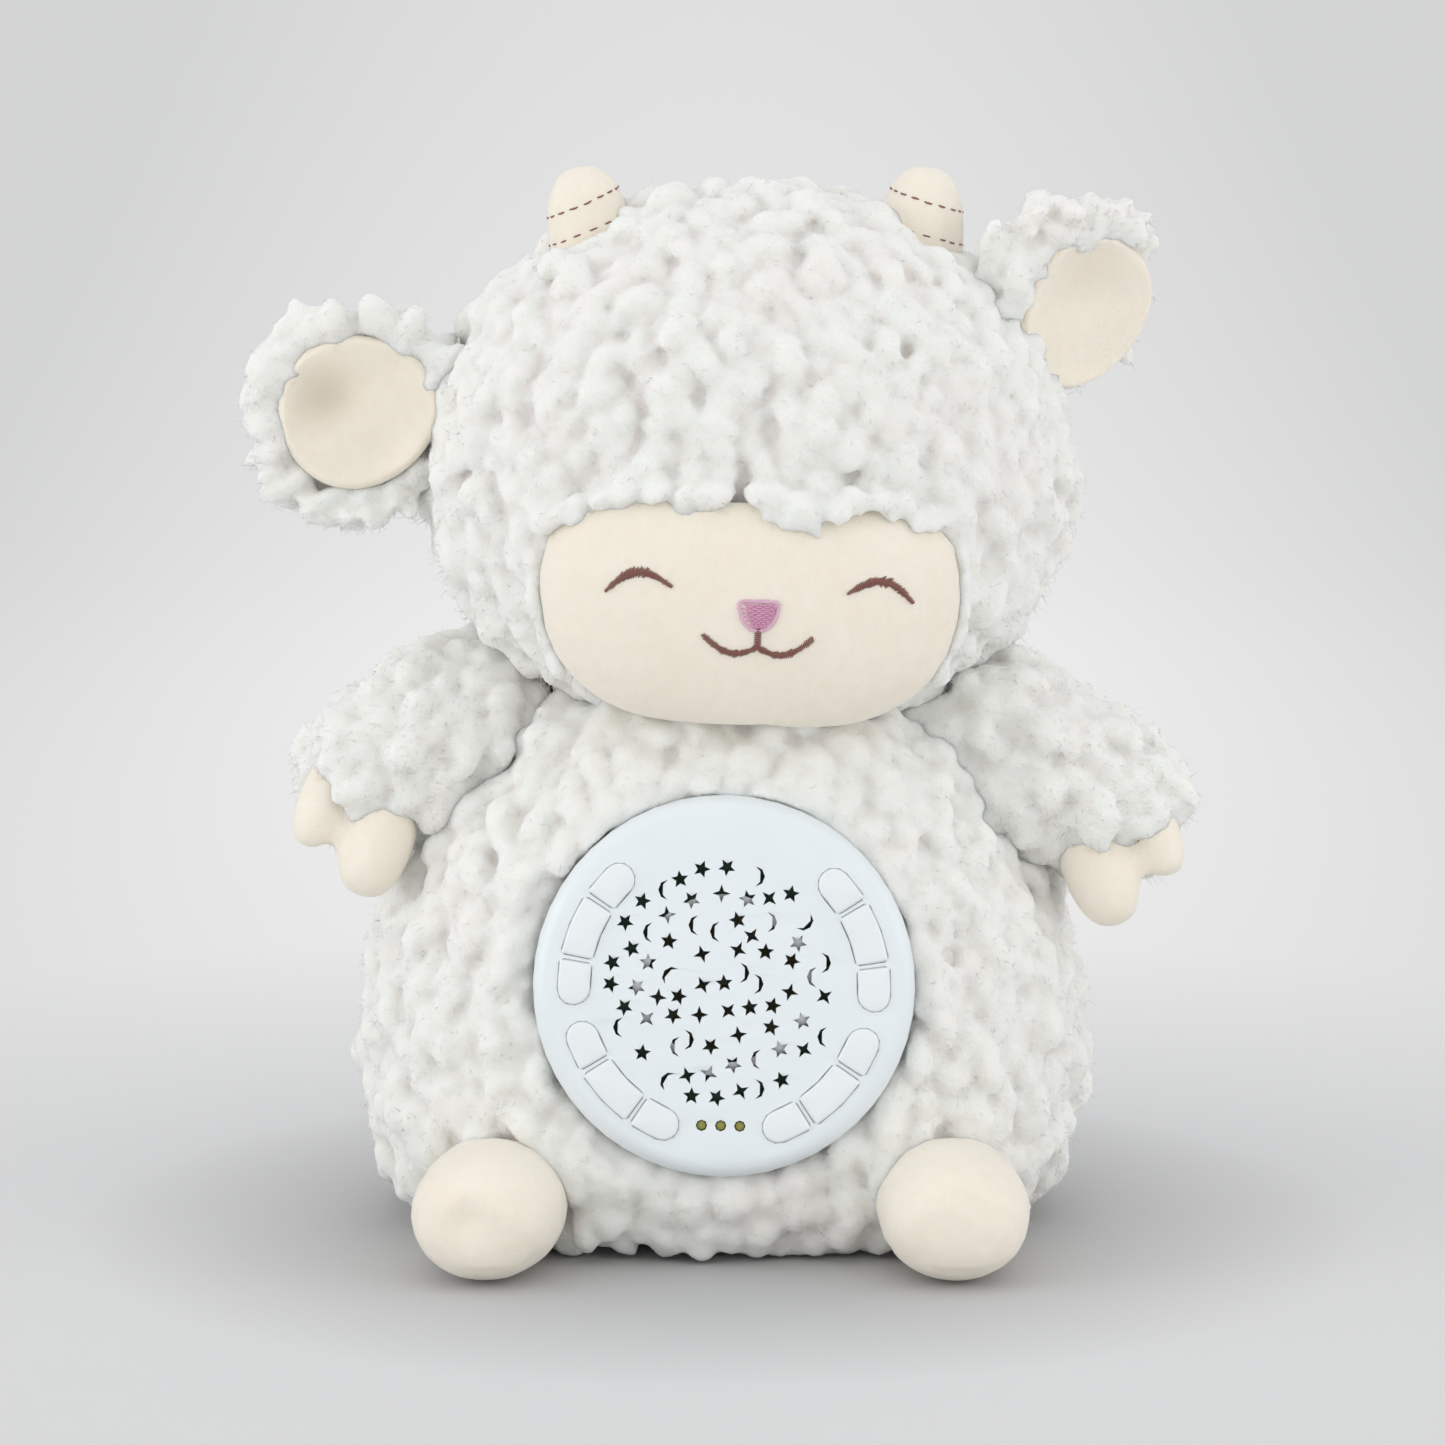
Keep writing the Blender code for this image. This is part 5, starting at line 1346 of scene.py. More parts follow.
@dataclass
class Face:
    """The padded face and the features stitched on it."""

    wardrobe: Wardrobe
    pivot: tuple = (7 * MM, 0.0, 174 * MM)
    tilt: float = math.radians(2.4)
    shift: float = 2.4 * MM
    pitch: float = 0.46 * MM
    cloth: Cloth = field(default_factory=lambda: Cloth(voxel=2.2 * MM, cap=1.2 * MM, shrink=-0.015))
    skin: Array | None = None

    def world(self, across: Array, up: Array) -> tuple[Array, Array]:
        """Places on the face's own plane, as world X and Z."""
        c, s = math.cos(self.tilt), math.sin(self.tilt)
        return self.pivot[0] + across * c + up * s, self.pivot[2] - across * s + up * c

    def build(self) -> None:
        """Makes the face's cloth, then what is sewn on it."""
        panel = copy_solid("face_panel", "face_cloth")
        self.cloth.inflate(panel)
        self.cloth.finish(panel)
        self.wardrobe.dress(panel, Wear.VELBOA, "toy", "face_panel")
        points, normals = points_of(panel), normals_of(panel)
        self.skin = points[(normals[:, 1] < -0.2) & (points[:, 1] < -45 * MM)]
        self.eyes()
        self.nose()
        self.mouth()

    def stitch(self, name: str, first: Array, second: Array, wear: Wear, thickness: float, rise: float,
               *nodes: str) -> bpy.types.Object:
        """Satin stitch between two rows of needle holes.

        Thread i runs from first[i] to second[i] on the face's plane and bows forward from the
        cloth by rise times sin(pi t).

        Args:
            name: the object's name.
            first: start of each thread on the plane, shape threads, 2.
            second: end of each thread.
            wear: the thread's finish.
            thickness: the thread's radius.
            rise: how far the middle stands off the cloth.
            nodes: the CAD nodes replaced.

        Returns:
            The new object.
        """
        steps = 6
        t = np.linspace(0, 1, steps)[None, :, None]
        flat = first[:, None] * (1 - t) + second[:, None] * t
        x, z = self.world(flat[..., 0].ravel(), flat[..., 1].ravel())
        y = height_over(self.skin, x, z)
        bow = (rise * np.sin(math.pi * t[..., 0]) - 0.15 * MM).repeat(len(first), 0).ravel()
        spines = np.stack((x, y - bow, z), -1).reshape(len(first), steps, 3)
        radius = np.broadcast_to(thickness * (0.75 + 0.25 * np.sin(math.pi * t[..., 0])), spines.shape[:2])
        up = np.broadcast_to(np.array((0.0, -1.0, 0.0)), (len(first), 3))
        made = tubes(name, spines, radius, 5, up)
        return self.wardrobe.dress(made, wear, "toy", *nodes)

    def band(self, path: Array, half: Array, seed: int, slant: float = 0.35) -> tuple[Array, Array]:
        """Needle holes on both sides of a path on the plane.

        Args:
            path: points along the stroke, shape steps, 2.
            half: the stroke's half width at each.
            seed: the random seed.
            slant: how far a thread leans along the path, as a share of its width.

        Returns:
            The two rows of holes.
        """
        rng = np.random.default_rng(seed)
        run = unit(np.gradient(path, axis=0))
        side = np.stack((-run[:, 1], run[:, 0]), -1)
        reach = half[:, None] * rng.uniform(0.66, 1.28, (len(path), 1))
        lean = run * half[:, None] * slant
        return path + side * reach + lean, path - side * reach - lean

    def eyes(self) -> None:
        """Two closed, smiling eyes: arcs in satin stitch."""
        for side, name in ((-1, "eye_left"), (1, "eye_right")):
            width, rise, turn = 17.2 * MM, 4.4 * MM, -side * math.radians(7.5)
            s = np.linspace(0, 1, int(20 * MM / self.pitch))
            x, z = width * (s - 0.5), rise * np.sin(math.pi * s)
            c, w = math.cos(turn), math.sin(turn)
            centre = np.array((self.shift + side * 31.4 * MM, 5.0 * MM))
            path = np.stack((x * c - z * w, x * w + z * c), -1) + centre
            half = 1.25 * MM * (0.32 + 0.68 * np.sin(math.pi * s))
            first, second = self.band(path, half, 31 + side)
            self.stitch(name + "_stitches", first, second, Wear.BROWN, 0.24 * MM, 0.75 * MM, name)

    def nose(self) -> None:
        """A rounded triangle of level stitches inside an outline of small upright ones."""
        top, depth, width = 3.0 * MM, 6.8 * MM, 10.2 * MM
        rows = int(depth / (0.5 * MM))
        t = (np.arange(rows) + 0.5) / rows
        half = (width / 2 - 0.6 * MM) * (1 - t**2.2) ** 0.7 * np.minimum(1.0, 0.8 + 2 * t)
        columns = 4
        share = np.arange(columns) / columns
        jog = (np.arange(rows)[:, None] % 2) * 0.5 / columns
        left = np.clip(share[None] + jog, 0, 1)
        right = np.clip(left + 1 / columns, 0, 1)
        z = np.repeat((top - 0.3 * MM - t * depth)[:, None], columns, 1)
        x1 = self.shift + (2 * left - 1) * half[:, None]
        x2 = self.shift + (2 * right - 1) * half[:, None]
        first = np.stack((x1, z), -1).reshape(-1, 2)
        second = np.stack((x2, z), -1).reshape(-1, 2)
        self.stitch("nose_fill", first, second, Wear.PINK, 0.27 * MM, 0.55 * MM, "nose")
        angle = np.linspace(0.02, TURN + 0.02, 400)
        lift = np.sin(angle)
        rim_x = width / 2 * np.sign(np.cos(angle)) * np.abs(np.cos(angle)) ** np.where(lift > 0, 0.5, 0.8)
        rim_z = np.where(lift > 0, 0.9 * MM * np.abs(lift) ** 0.6, -depth * np.abs(lift) ** 1.1)
        path = np.stack((rim_x + self.shift, rim_z + top - 0.5 * MM), -1)
        run = np.concatenate(([0], np.cumsum(np.linalg.norm(np.diff(path, axis=0), axis=1))))
        even = np.linspace(0, run[-1], int(31 * MM / self.pitch))
        path = np.stack((np.interp(even, run, path[:, 0]), np.interp(even, run, path[:, 1])), -1)
        half = np.full(len(path), 0.5 * MM)
        first, second = self.band(path, half, 35, 0.2)
        self.stitch("nose_rim", first, second, Wear.PALE_PINK, 0.22 * MM, 0.75 * MM)

    def mouth(self) -> None:
        """Two hanging arcs and the stem under the nose."""
        cusp = 3.0 * MM - 6.8 * MM - 4.9 * MM
        s = np.linspace(-1, 1, int(31 * MM / self.pitch))
        out = np.abs(s)
        z = cusp - 2.5 * MM * np.sin(math.pi * out) + 2.7 * MM * out**2
        path = np.stack((s * 14.2 * MM + self.shift, z), -1)
        half = 0.95 * MM * (0.75 + 0.25 * np.sin(math.pi * np.clip(out * 1.02, 0, 1)))
        first, second = self.band(path, half, 36)
        self.stitch("mouth_stitches", first, second, Wear.BROWN, 0.24 * MM, 0.7 * MM, "mouth")
        rows = int(4.8 * MM / self.pitch)
        z = np.linspace(cusp, cusp + 4.7 * MM, rows)
        first = np.stack((np.full(rows, self.shift - 0.9 * MM), z), -1)
        second = np.stack((np.full(rows, self.shift + 0.9 * MM), z + 0.3 * MM), -1)
        self.stitch("mouth_stem", first, second, Wear.BROWN, 0.24 * MM, 0.75 * MM)


def thin(points: Array, normals: Array, spacing: float) -> tuple[Array, Array]:
    """One point from each cell of a cube grid of the given spacing.

    Args:
        points: the points.
        normals: their normals.
        spacing: the cell's size in metres.

    Returns:
        The points and normals that are left.
    """
    cell = np.floor(points / spacing).astype(np.int64)
    _, first = np.unique(cell, axis=0, return_index=True)
    return points[first], normals[first]


@dataclass
class Horns:
    """Two small cones with two rows of running stitch each."""

    wardrobe: Wardrobe
    radius: float = 11.8 * MM
    length: float = 37 * MM
    top: float = 284.3 * MM
    rows: tuple = ((0.0, 0.95), (0.4, 1.07), (0.7, 0.98), (0.87, 0.78), (0.97, 0.5), (1.0, 0.26))

    def build(self) -> None:
        """Makes both horns."""
        for name, x, lean, tilt, levels in (
            ("horn_left", 7 * MM - 0.523 * 87 * MM, math.radians(-11), 0.48, (0.55, 0.74)),
            ("horn_right", 7 * MM + 0.546 * 87 * MM, math.radians(5), -0.36, (0.53, 0.76)),
        ):
            aim = np.array((math.sin(lean), 0, math.cos(lean)))
            tip = np.array((x, -2 * MM, self.top))
            table = np.array(self.rows)
            rows = np.stack((table[:, 0] * self.length, table[:, 1], table[:, 1]), -1)
            place = aimed(tuple(tip - aim * self.length), tuple(aim), (0, 1, 0))
            form = Form.limb(rows, self.radius, self.radius, 8, place)
            grid = form.grid(30, 40)
            ends = form.at(np.array((-1.0, len(rows) + 2.0)), np.zeros(2))
            cone = loft_mesh(name + "_cloth", grid[None], ends[None])
            cloth = Cloth(voxel=1.4 * MM, inset=0.6 * MM, cap=1.2 * MM)
            cloth.inflate(cone)
            cloth.finish(cone)
            self.wardrobe.dress(cone, Wear.VELBOA, "toy", name)
            self.stitches(name, cone, tip, aim, tilt, levels)

    def stitches(self, name: str, cone: bpy.types.Object, tip: Array, aim: Array, tilt: float,
                 levels: tuple) -> None:
        """Running stitches round the horn where a slanting plane cuts it.

        Each stitch follows the plane z = level + tilt (x - x0), and lies on the cone: it is the
        mean of the cone's nearest points, each weighed by 1 / (distance^2 + e)^4.

        Args:
            name: the horn's name.
            cone: its cloth.
            tip: the horn's tip.
            aim: the unit vector toward the tip.
            tilt: the planes' slope along X.
            levels: each row's place as a share of the length.
        """
        cloth = points_of(cone)
        dashes, steps = 17, 4
        spines = []
        for level in levels:
            base = tip - aim * self.length * (1 - level)
            dash = np.linspace(-0.32, 0.32, steps)[None] * TURN / dashes
            angle = np.arange(dashes)[:, None] / dashes * TURN + dash
            ray = np.stack((np.cos(angle), np.sin(angle), np.zeros_like(angle)), -1)
            guess = base + ray * 8.5 * MM
            guess[..., 2] = base[2] + tilt * (guess[..., 0] - base[0])
            flat = guess.reshape(-1, 3)
            gap = ((flat[:, None] - cloth[None]) ** 2).sum(-1)
            weight = 1 / (gap + (0.6 * MM) ** 2) ** 4
            near = (weight[..., None] * cloth[None]).sum(1) / weight.sum(1)[:, None]
            out = unit(near - base)
            lift = 0.15 * MM - 0.35 * MM * (np.abs(np.linspace(-1, 1, steps)) ** 3)[None] + 0 * angle
            spines.append((near + out * lift.ravel()[:, None]).reshape(dashes, steps, 3))
        spines = np.concatenate(spines)
        up = unit(spines[:, 1] - (tip - aim * self.length / 3))
        radius = np.full(spines.shape[:2], 0.27 * MM)
        made = tubes(name + "_stitches", spines, radius, 5, up)
        self.wardrobe.dress(made, Wear.BROWN, "toy")


@dataclass
class Ear:
    """A floppy ear: fleece behind and round the rim, a smooth cupped lining in front.

    pad gives the lining's middle along the ear, half length and half width in millimetres.
    """

    wardrobe: Wardrobe
    side: str
    root: tuple
    aim: float
    twist: float
    length: float = 51 * MM
    half_width: float = 26.5 * MM
    half_thick: float = 7.5 * MM
    up: int = 1
    offset: float = 0.0
    pad: tuple = (26, 22, 20.5)
    rows: tuple = (
        (-0.1, 0.24, 0.6), (0.1, 0.5, 1.0), (0.38, 0.94, 1.0),
        (0.68, 1.0, 1.0), (0.9, 0.74, 0.9), (1.0, 0.34, 0.5),
    )

    def place(self) -> Matrix:
        """The ear's own frame: X to the tip, -Y to the front."""
        turn = Matrix.Rotation(-self.aim, 4, "Y") @ Matrix.Rotation(self.twist, 4, "X")
        return Matrix.Translation(self.root) @ turn

    def build(self) -> None:
        """Makes the ear's lining and coat."""
        body = "ear_" + self.side
        lining = self.lining(body + "_lining_cloth")
        self.wardrobe.dress(lining, Wear.VELBOA, body, body + "_lining")
        rows = np.array(self.rows) * np.array((self.length, 1, 1))
        place = self.place()
        form = Form.limb(rows, self.half_width, self.half_thick, 10, place)
        points, normals = form.scatter(4.4 * MM, 51)
        local = self.local(points)
        upper = local[:, 2] * self.up > self.offset
        bare = (self.share(local) < np.where(upper, 0.88, 1.09)) & (local[:, 1] < 0.5 * MM)
        open_side = (local[:, 2] < self.offset - 7 * MM) & (local[:, 1] < 3.5 * MM) & (self.offset < 0)
        keep = ~bare & ~open_side & (local[:, 0] > 2 * MM)
        points, normals, local = points[keep], normals[keep], local[keep]
        turn = np.array(place.to_3x3(), float)
        away = np.stack((local[:, 0] - 22 * MM, 0 * local[:, 0], local[:, 2]), -1)
        flow = away @ turn.T + np.array((0, 0, -0.006))
        skin = base_skin(body, body + "_cloth", 2.2 * MM, 2.4 * MM)
        pile = Pile(lift=3.6 * MM, radius=3.1 * MM, root=3.0 * MM, voxel=1.0 * MM)
        locks = pile.locks(body + "_locks", points, normals, flow, Lay.RIM, 52, 0.98)
        angle = np.radians(np.arange(-8, 176, 17.0)) * self.up
        ring = np.stack((26 + 22.5 * np.cos(angle), -3.4 + 0 * angle, 21 * np.sin(angle)), -1) * MM
        ring[:, 2] += self.offset
        out = np.stack((np.cos(angle), 0 * angle, np.sin(angle)), -1)
        rim_points = ring @ turn.T + np.array(place.translation)
        face = np.broadcast_to(turn @ np.array((0.0, -1.0, 0.0)), ring.shape)
        curls = Pile(length=12.5 * MM, lift=2.4 * MM, radius=3.9 * MM, root=0.6 * MM)
        rim = curls.locks(body + "_rim", rim_points, face, out @ turn.T, Lay.RIM, 54, 1.0)
        coat = pile.coat(body + "_fleece", skin, [locks, rim], form, self)
        fuzz = pile.fuzz(body + "_fuzz", coat, 2.5 * MM, 73, 0.7)
        self.wardrobe.dress(coat, Wear.FLEECE, body, body)
        self.wardrobe.dress(fuzz, Wear.FLEECE, body)

    def share(self, local: Array) -> Array:
        """How far out a place of the ear's own frame lies on the lining: 0 its middle, 1 its edge."""
        middle, half_length, half_width = (MM * size for size in self.pad)
        return np.hypot((local[:, 0] - middle) / half_length, (local[:, 2] - self.offset) / half_width)

    def press(self, points: Array) -> Array:
        """Draws the cloth's front back where the lining lies: y >= -1.4 mm inside 0.93 of its edge.

        Between 0.93 and 1.05 of the edge the depth runs on from -1.4 mm to -9 mm, smoothly.

        Args:
            points: the coat's points.

        Returns:
            The points, drawn back.
        """
        place = np.array(self.place(), float)
        local = self.local(points)
        t = np.clip((self.share(local) - 0.93) / 0.12, 0, 1)
        floor = -1.4 * MM - 7.6 * MM * t * t * (3 - 2 * t)
        inside = self.share(local) < 1.05
        curl = local[:, 1] < -6.0 * MM
        pressed = np.where(inside & ~curl, np.maximum(local[:, 1], floor), local[:, 1])
        local[:, 1] = pressed
        return local @ place[:3, :3].T + place[:3, 3]

    def lining(self, name: str) -> bpy.types.Object:
        """The lining: an egg-shaped pad, hollowed like a spoon and rolled over at its edge.

        At turn a and share r of the way out, x is 26 + 22 r cos a and z is 20.5 r sin a (1 + 0.1 cos a)
        in millimetres. The front lies at y = -(4.9 + 3.2 r^3) inside the rim less a dent of 2.2 mm
        near the upper tip, exp(-((x - 34) / 9)^2 - ((z - 6) / 8)^2). It rolls round a quarter circle,
        and the back lies flat. Two slow folds run across it. The dent also carries painted shade,
        0.9 of it on the left ear and 0.35 on the right, which the velboa material mixes in.

        Args:
            name: the object's name.

        Returns:
            The lining.
        """
        angle = TURN * np.arange(64) / 64
        front = [(r, -(4.9 + 3.2 * r**3)) for r in np.linspace(0.06, 0.9, 14)]
        turns = np.linspace(0.25, math.pi / 2, 6)
        roll = [(0.9 + 0.1 * math.sin(t), -(4.0 + 3.3 * math.cos(t))) for t in turns]
        back = [(0.96, -2.6), (0.8, -1.8), (0.4, -1.8)]
        share, depth = np.array(front + roll + back).T
        middle, half_length, half_width = self.pad
        x = middle + half_length * share[:, None] * np.cos(angle)
        z = half_width * share[:, None] * np.sin(angle) * (1 + 0.1 * np.cos(angle))
        fold = 0.4 * np.sin(x / 3.7 + z / 6.0) + 0.3 * np.sin(z / 3.1 - x / 9.0)
        dent = np.exp(-(((x - 34) / 9) ** 2) - ((z - 6 * self.up) / 8) ** 2)
        fold = fold + 2.2 * dent
        fade = np.clip((0.97 - share) / 0.2, 0, 1)[:, None] * (np.arange(len(share)) < len(front))[:, None]
        y = depth[:, None] + fold * fade
        # Painted shade: a share of the dent, 0.9 on the left ear and 0.35 on the right, for the velboa
        # material to mix in.
        hollow = np.repeat((dent * fade * (0.9 if self.up < 0 else 0.35))[None, ..., None], 3, axis=-1)
        grid = np.stack((x, y, z + self.offset / MM), -1) * MM
        ends = np.array((grid[0].mean(0), grid[-1].mean(0)))
        place = np.array(self.place(), float)
        grid = grid @ place[:3, :3].T + place[:3, 3]
        ends = ends @ place[:3, :3].T + place[:3, 3]
        return loft_mesh(name, grid[None], ends[None], hollow=hollow)

    def local(self, points: Array) -> Array:
        """Points in the ear's own frame."""
        inverse = np.array(self.place().inverted(), float)
        return points @ inverse[:3, :3].T + inverse[:3, 3]


@dataclass
class Arm:
    """A stubby fleece arm with a cloven hand in short pile."""

    wardrobe: Wardrobe
    side: str
    sign: int
    reach: float
    aim: tuple
    radius: float = 26 * MM
    rows: tuple = ((-0.42, 0.42), (-0.28, 0.82), (0.1, 1.02), (0.56, 0.87), (0.88, 0.63), (1.0, 0.36))

    def build(self) -> None:
        """Makes the arm's coat and the hand."""
        body = "arm_" + self.side
        pivot = (self.sign * 61 * MM, -2 * MM, 133 * MM)
        place = aimed(pivot, self.aim)
        table = np.array(self.rows)
        rows = np.stack((table[:, 0] * self.reach, table[:, 1], table[:, 1]), -1)
        form = Form.limb(rows, self.radius, self.radius, 10, place)
        points, normals = form.scatter(4.9 * MM, 61)
        hand = copy_solid("hand_" + self.side, "hand_" + self.side + "_cloth")
        cloth = Cloth(voxel=1.8 * MM, inset=0.8 * MM, cap=1.6 * MM)
        cloth.inflate(hand)
        cloth.finish(hand)
        self.wardrobe.dress(hand, Wear.VELBOA, body, "hand_" + self.side)
        local = (points - np.array(pivot)) @ np.array(place.to_3x3(), float)
        forms = Stuffing()
        keep = (local[:, 0] > -10 * MM) & (forms.body().depth(points) > -1.0 * MM)
        keep &= forms.head().depth(points) > -1.0 * MM
        gap = ((points[:, None] - points_of(hand)[None, ::3]) ** 2).sum(-1).min(1)
        keep &= gap > (1.4 * MM) ** 2
        points, normals = points[keep], normals[keep]
        flow = np.array(self.aim) * 0.6 + np.array((0.0, 0.0, -0.9)) + 0 * points
        pile = Pile()
        skin = base_skin(body, body + "_cloth", 2.8 * MM)
        locks = pile.locks(body + "_locks", points, normals, flow, Lay.HANGING, 62)
        coat = pile.coat(body + "_fleece", skin, [locks], form)
        fuzz = pile.fuzz(body + "_fuzz", coat, 2.5 * MM, 74, 0.9)
        self.wardrobe.dress(coat, Wear.FLEECE, body, body)
        self.wardrobe.dress(fuzz, Wear.FLEECE, body)


@dataclass
class Feet:
    """Two smooth pads that rest on the floor."""

    wardrobe: Wardrobe

    def build(self) -> None:
        """Makes both feet."""
        for name in ("foot_left", "foot_right"):
            pad = copy_solid(name, name + "_cloth")
            cloth = Cloth(voxel=2.2 * MM, inset=1.0 * MM, cap=1.8 * MM)
            cloth.inflate(pad)
            cloth.finish(pad)
            points = points_of(pad)
            points = self.creases(name, points, normals_of(pad))
            points[:, 2] = np.maximum(points[:, 2], 0.2 * MM)
            set_points(pad, points)
            self.wardrobe.dress(pad, Wear.VELBOA, "toy", name)

    def creases(self, name: str, points: Array, normals: Array) -> Array:
        """Soft dents: each sinks the cloth by its depth times exp(-(distance / width)^2).

        Args:
            name: the foot's name.
            points: its points.
            normals: its normals.

        Returns:
            The points, dented.
        """
        dents = {
            "foot_left": ((-66, -100, 19, 5.0, 2.0), (-58, -97, 15, 4.0, 1.0), (-50, -92, 9, 4.5, 0.9)),
            "foot_right": ((66, -98, 24, 6.0, 0.9), (50, -96, 12, 5.0, 0.7)),
        }
        for x, y, z, width, depth in dents[name]:
            gap = np.linalg.norm(points - np.array((x, y, z)) * MM, axis=1) / (width * MM)
            points = points - normals * (depth * MM * np.exp(-(gap**2)))[:, None]
        return points


# Module
@dataclass
class Module:
    """The belly module: soft-edged cover, pillowed caps, lenses and the parts behind."""

    wardrobe: Wardrobe
    place: Matrix
    circle: float = 39.2 * MM
    width: float = 8.3 * MM
    proud: float = 0.9 * MM
    crown: float = 0.28 * MM
    shoulder: float = 0.7 * MM
    lamp_pitch: float = 5.0 * MM
    lamp_row: float = -36.3 * MM

    def build(self) -> None:
        """Makes the cover, caps and lenses and repaints what is behind."""
        cover = copy_solid("front_cover", "cover_moulding")
        cover.data.shade_smooth()
        cover.data.set_sharp_from_angle(angle=math.radians(38))
        even = cover.modifiers.new("even", "WEIGHTED_NORMAL")
        even.keep_sharp = True
        even.weight = 100
        self.wardrobe.dress(cover, Wear.COVER, "toy", "front_cover")
        self.caps()
        self.lenses()
        for node, wear in (
            ("main_board", Wear.BOARD), ("speaker_frame", Wear.STEEL), ("speaker_cone", Wear.MYLAR),
            ("speaker_magnet", Wear.FERRITE), ("rear_housing", Wear.COVER), ("charging_socket", Wear.STEEL),
            ("battery_cell", Wear.FOIL), ("housing_screw_1", Wear.STEEL),
            ("housing_screw_2", Wear.STEEL), ("housing_screw_3", Wear.STEEL),
            ("closure_hook_tape", Wear.TAPE), ("closure_loop_tape", Wear.TAPE),
        ):
            self.wardrobe.repaint(node, wear)

    def outline(self, length: float, round_end: int, grow: float, samples: int = 20) -> Array:
        """A cap's outline bent to its circle.

        Each end is a half circle, or a straight edge with small rounded corners, and the
        distance along becomes an angle on the circle.

        Args:
            length: the cap's length along the circle.
            round_end: 1 or -1 for the end that is round, 0 for none.
            grow: how far the outline stands outside the cap.
            samples: points in each end's curve.

        Returns:
            Points about the cap's middle, X outward from the circle's centre.
        """
        half_length, half_width = length / 2 + grow, self.width / 2 + grow
        turn = np.linspace(0, math.pi, samples)
        between = np.linspace(1, -1, 10)[1:-1]
        sides = []
        for end in (1, -1):
            if end == round_end:
                along = end * (half_length - half_width) + end * half_width * np.sin(turn)
                out = end * half_width * np.cos(turn)
            else:
                corner = 0.8 * MM + grow
                power = 0.32
                along = end * (half_length - corner) + end * corner * np.sin(turn) ** power
                out = end * (half_width * np.sign(np.cos(turn)) * np.abs(np.cos(turn)) ** power)
            sides.append(np.stack((along, out), -1))
            reach = min(half_length - half_width, half_length * 0.6)
            sides.append(np.stack((end * between * reach, np.full(8, -end * half_width)), -1))
        flat = np.concatenate(sides)
        angle, radius = flat[:, 0] / self.circle, self.circle + flat[:, 1]
        return np.stack((radius * np.cos(angle) - self.circle, radius * np.sin(angle)), -1)

    def caps(self) -> None:
        """All caps: rings that shrink inward over a pillowed crown."""
        middle, end = 14.5 * MM, 11.2 * MM
        step = (middle / 2 + 1.5 * MM + end / 2) / self.circle
        for side, mirror in (("left", 1), ("right", -1)):
            number = 0
            for arc in (math.radians(158.9), math.radians(224.2)):
                for offset in (-1, 0, 1):
                    number += 1
                    angle = arc + offset * step
                    angle = angle if mirror > 0 else math.pi - angle
                    self.cap(f"button_{side}_{number}", angle, end if offset else middle, offset * mirror)

    def cap(self, body: str, angle: float, length: float, round_end: int) -> None:
        """One cap: walls, a rounded shoulder and a slightly domed crown.

        Ring k lies at height h and shrinks the outline by g: the shoulder follows a quarter
        circle, and the crown rises as 1 - (share of the way out)^2.

        Args:
            body: the cap's body and node.
            angle: its place on the circle, in radians.
            length: its length along the circle.
            round_end: 1 or -1 for the end that is round, 0 for none.
        """
        levels = [(-6.8 * MM, 0.0), (-1.6 * MM, 0.0), (-1.5 * MM, 0.2 * MM), (-0.5 * MM, 0.2 * MM),
                  (-0.45 * MM, 0.0), (0.2 * MM, 0.0)]
        for k in range(1, 5):
            turn = math.pi / 2 * k / 4
            drop, inward = self.shoulder * (1 - math.sin(turn)), self.shoulder * (1 - math.cos(turn))
            levels.append((self.proud - drop, -inward))
        rings = []
        for height, grow in levels:
            outline = self.outline(length, round_end, grow)
            rings.append(np.concatenate((outline, np.full((len(outline), 1), height)), 1))
        rim = rings[-1]
        for share in (0.8, 0.55, 0.28):
            flat = rim * np.array((share, share, 1))
            flat[:, 2] = self.proud + self.crown * (1 - share**2)
            rings.append(flat)
        grid = np.stack(rings)
        middle = grid[0].mean(0), grid[-1].mean(0)
        local = np.concatenate((grid.reshape(-1, 3), np.stack(middle)))
        spot = (self.circle * math.cos(angle), self.circle * math.sin(angle), 0)
        place = self.place @ Matrix.Translation(spot)
        place = np.array(place @ Matrix.Rotation(angle, 4, "Z"), float)
        world = local @ place[:3, :3].T + place[:3, 3]
        grids = world[:-2].reshape(1, *grid.shape)
        made = loft_mesh(body + "_cap", grids, world[-2:][None])
        made.data.set_sharp_from_angle(angle=math.radians(50))
        self.wardrobe.dress(made, Wear.CAP, body, body)

    def lenses(self) -> None:
        """Three domed lamp windows."""
        angle = TURN * np.arange(20) / 20
        for number, i in enumerate((-1, 0, 1), 1):
            profile = ((1.2, -7.8), (1.2, -1.0), (1.18, -0.75), (1.05, -0.5), (0.75, -0.36), (0.35, -0.3))
            rings = np.array([
                np.stack((r * np.cos(angle), r * np.sin(angle), np.full(20, z)), -1) for r, z in profile
            ]) * MM
            ends = np.array(((0, 0, -7.8), (0, 0, -0.28))) * MM
            shift = np.array((i * self.lamp_pitch, self.lamp_row, 0))
            place = np.array(self.place, float)
            grids = (rings + shift) @ place[:3, :3].T + place[:3, 3]
            poles = (ends + shift) @ place[:3, :3].T + place[:3, 3]
            made = loft_mesh(f"lamp_window_{number}", grids[None], poles[None])
            self.wardrobe.dress(made, Wear.LENS, "toy", f"indicator_light_{number}")


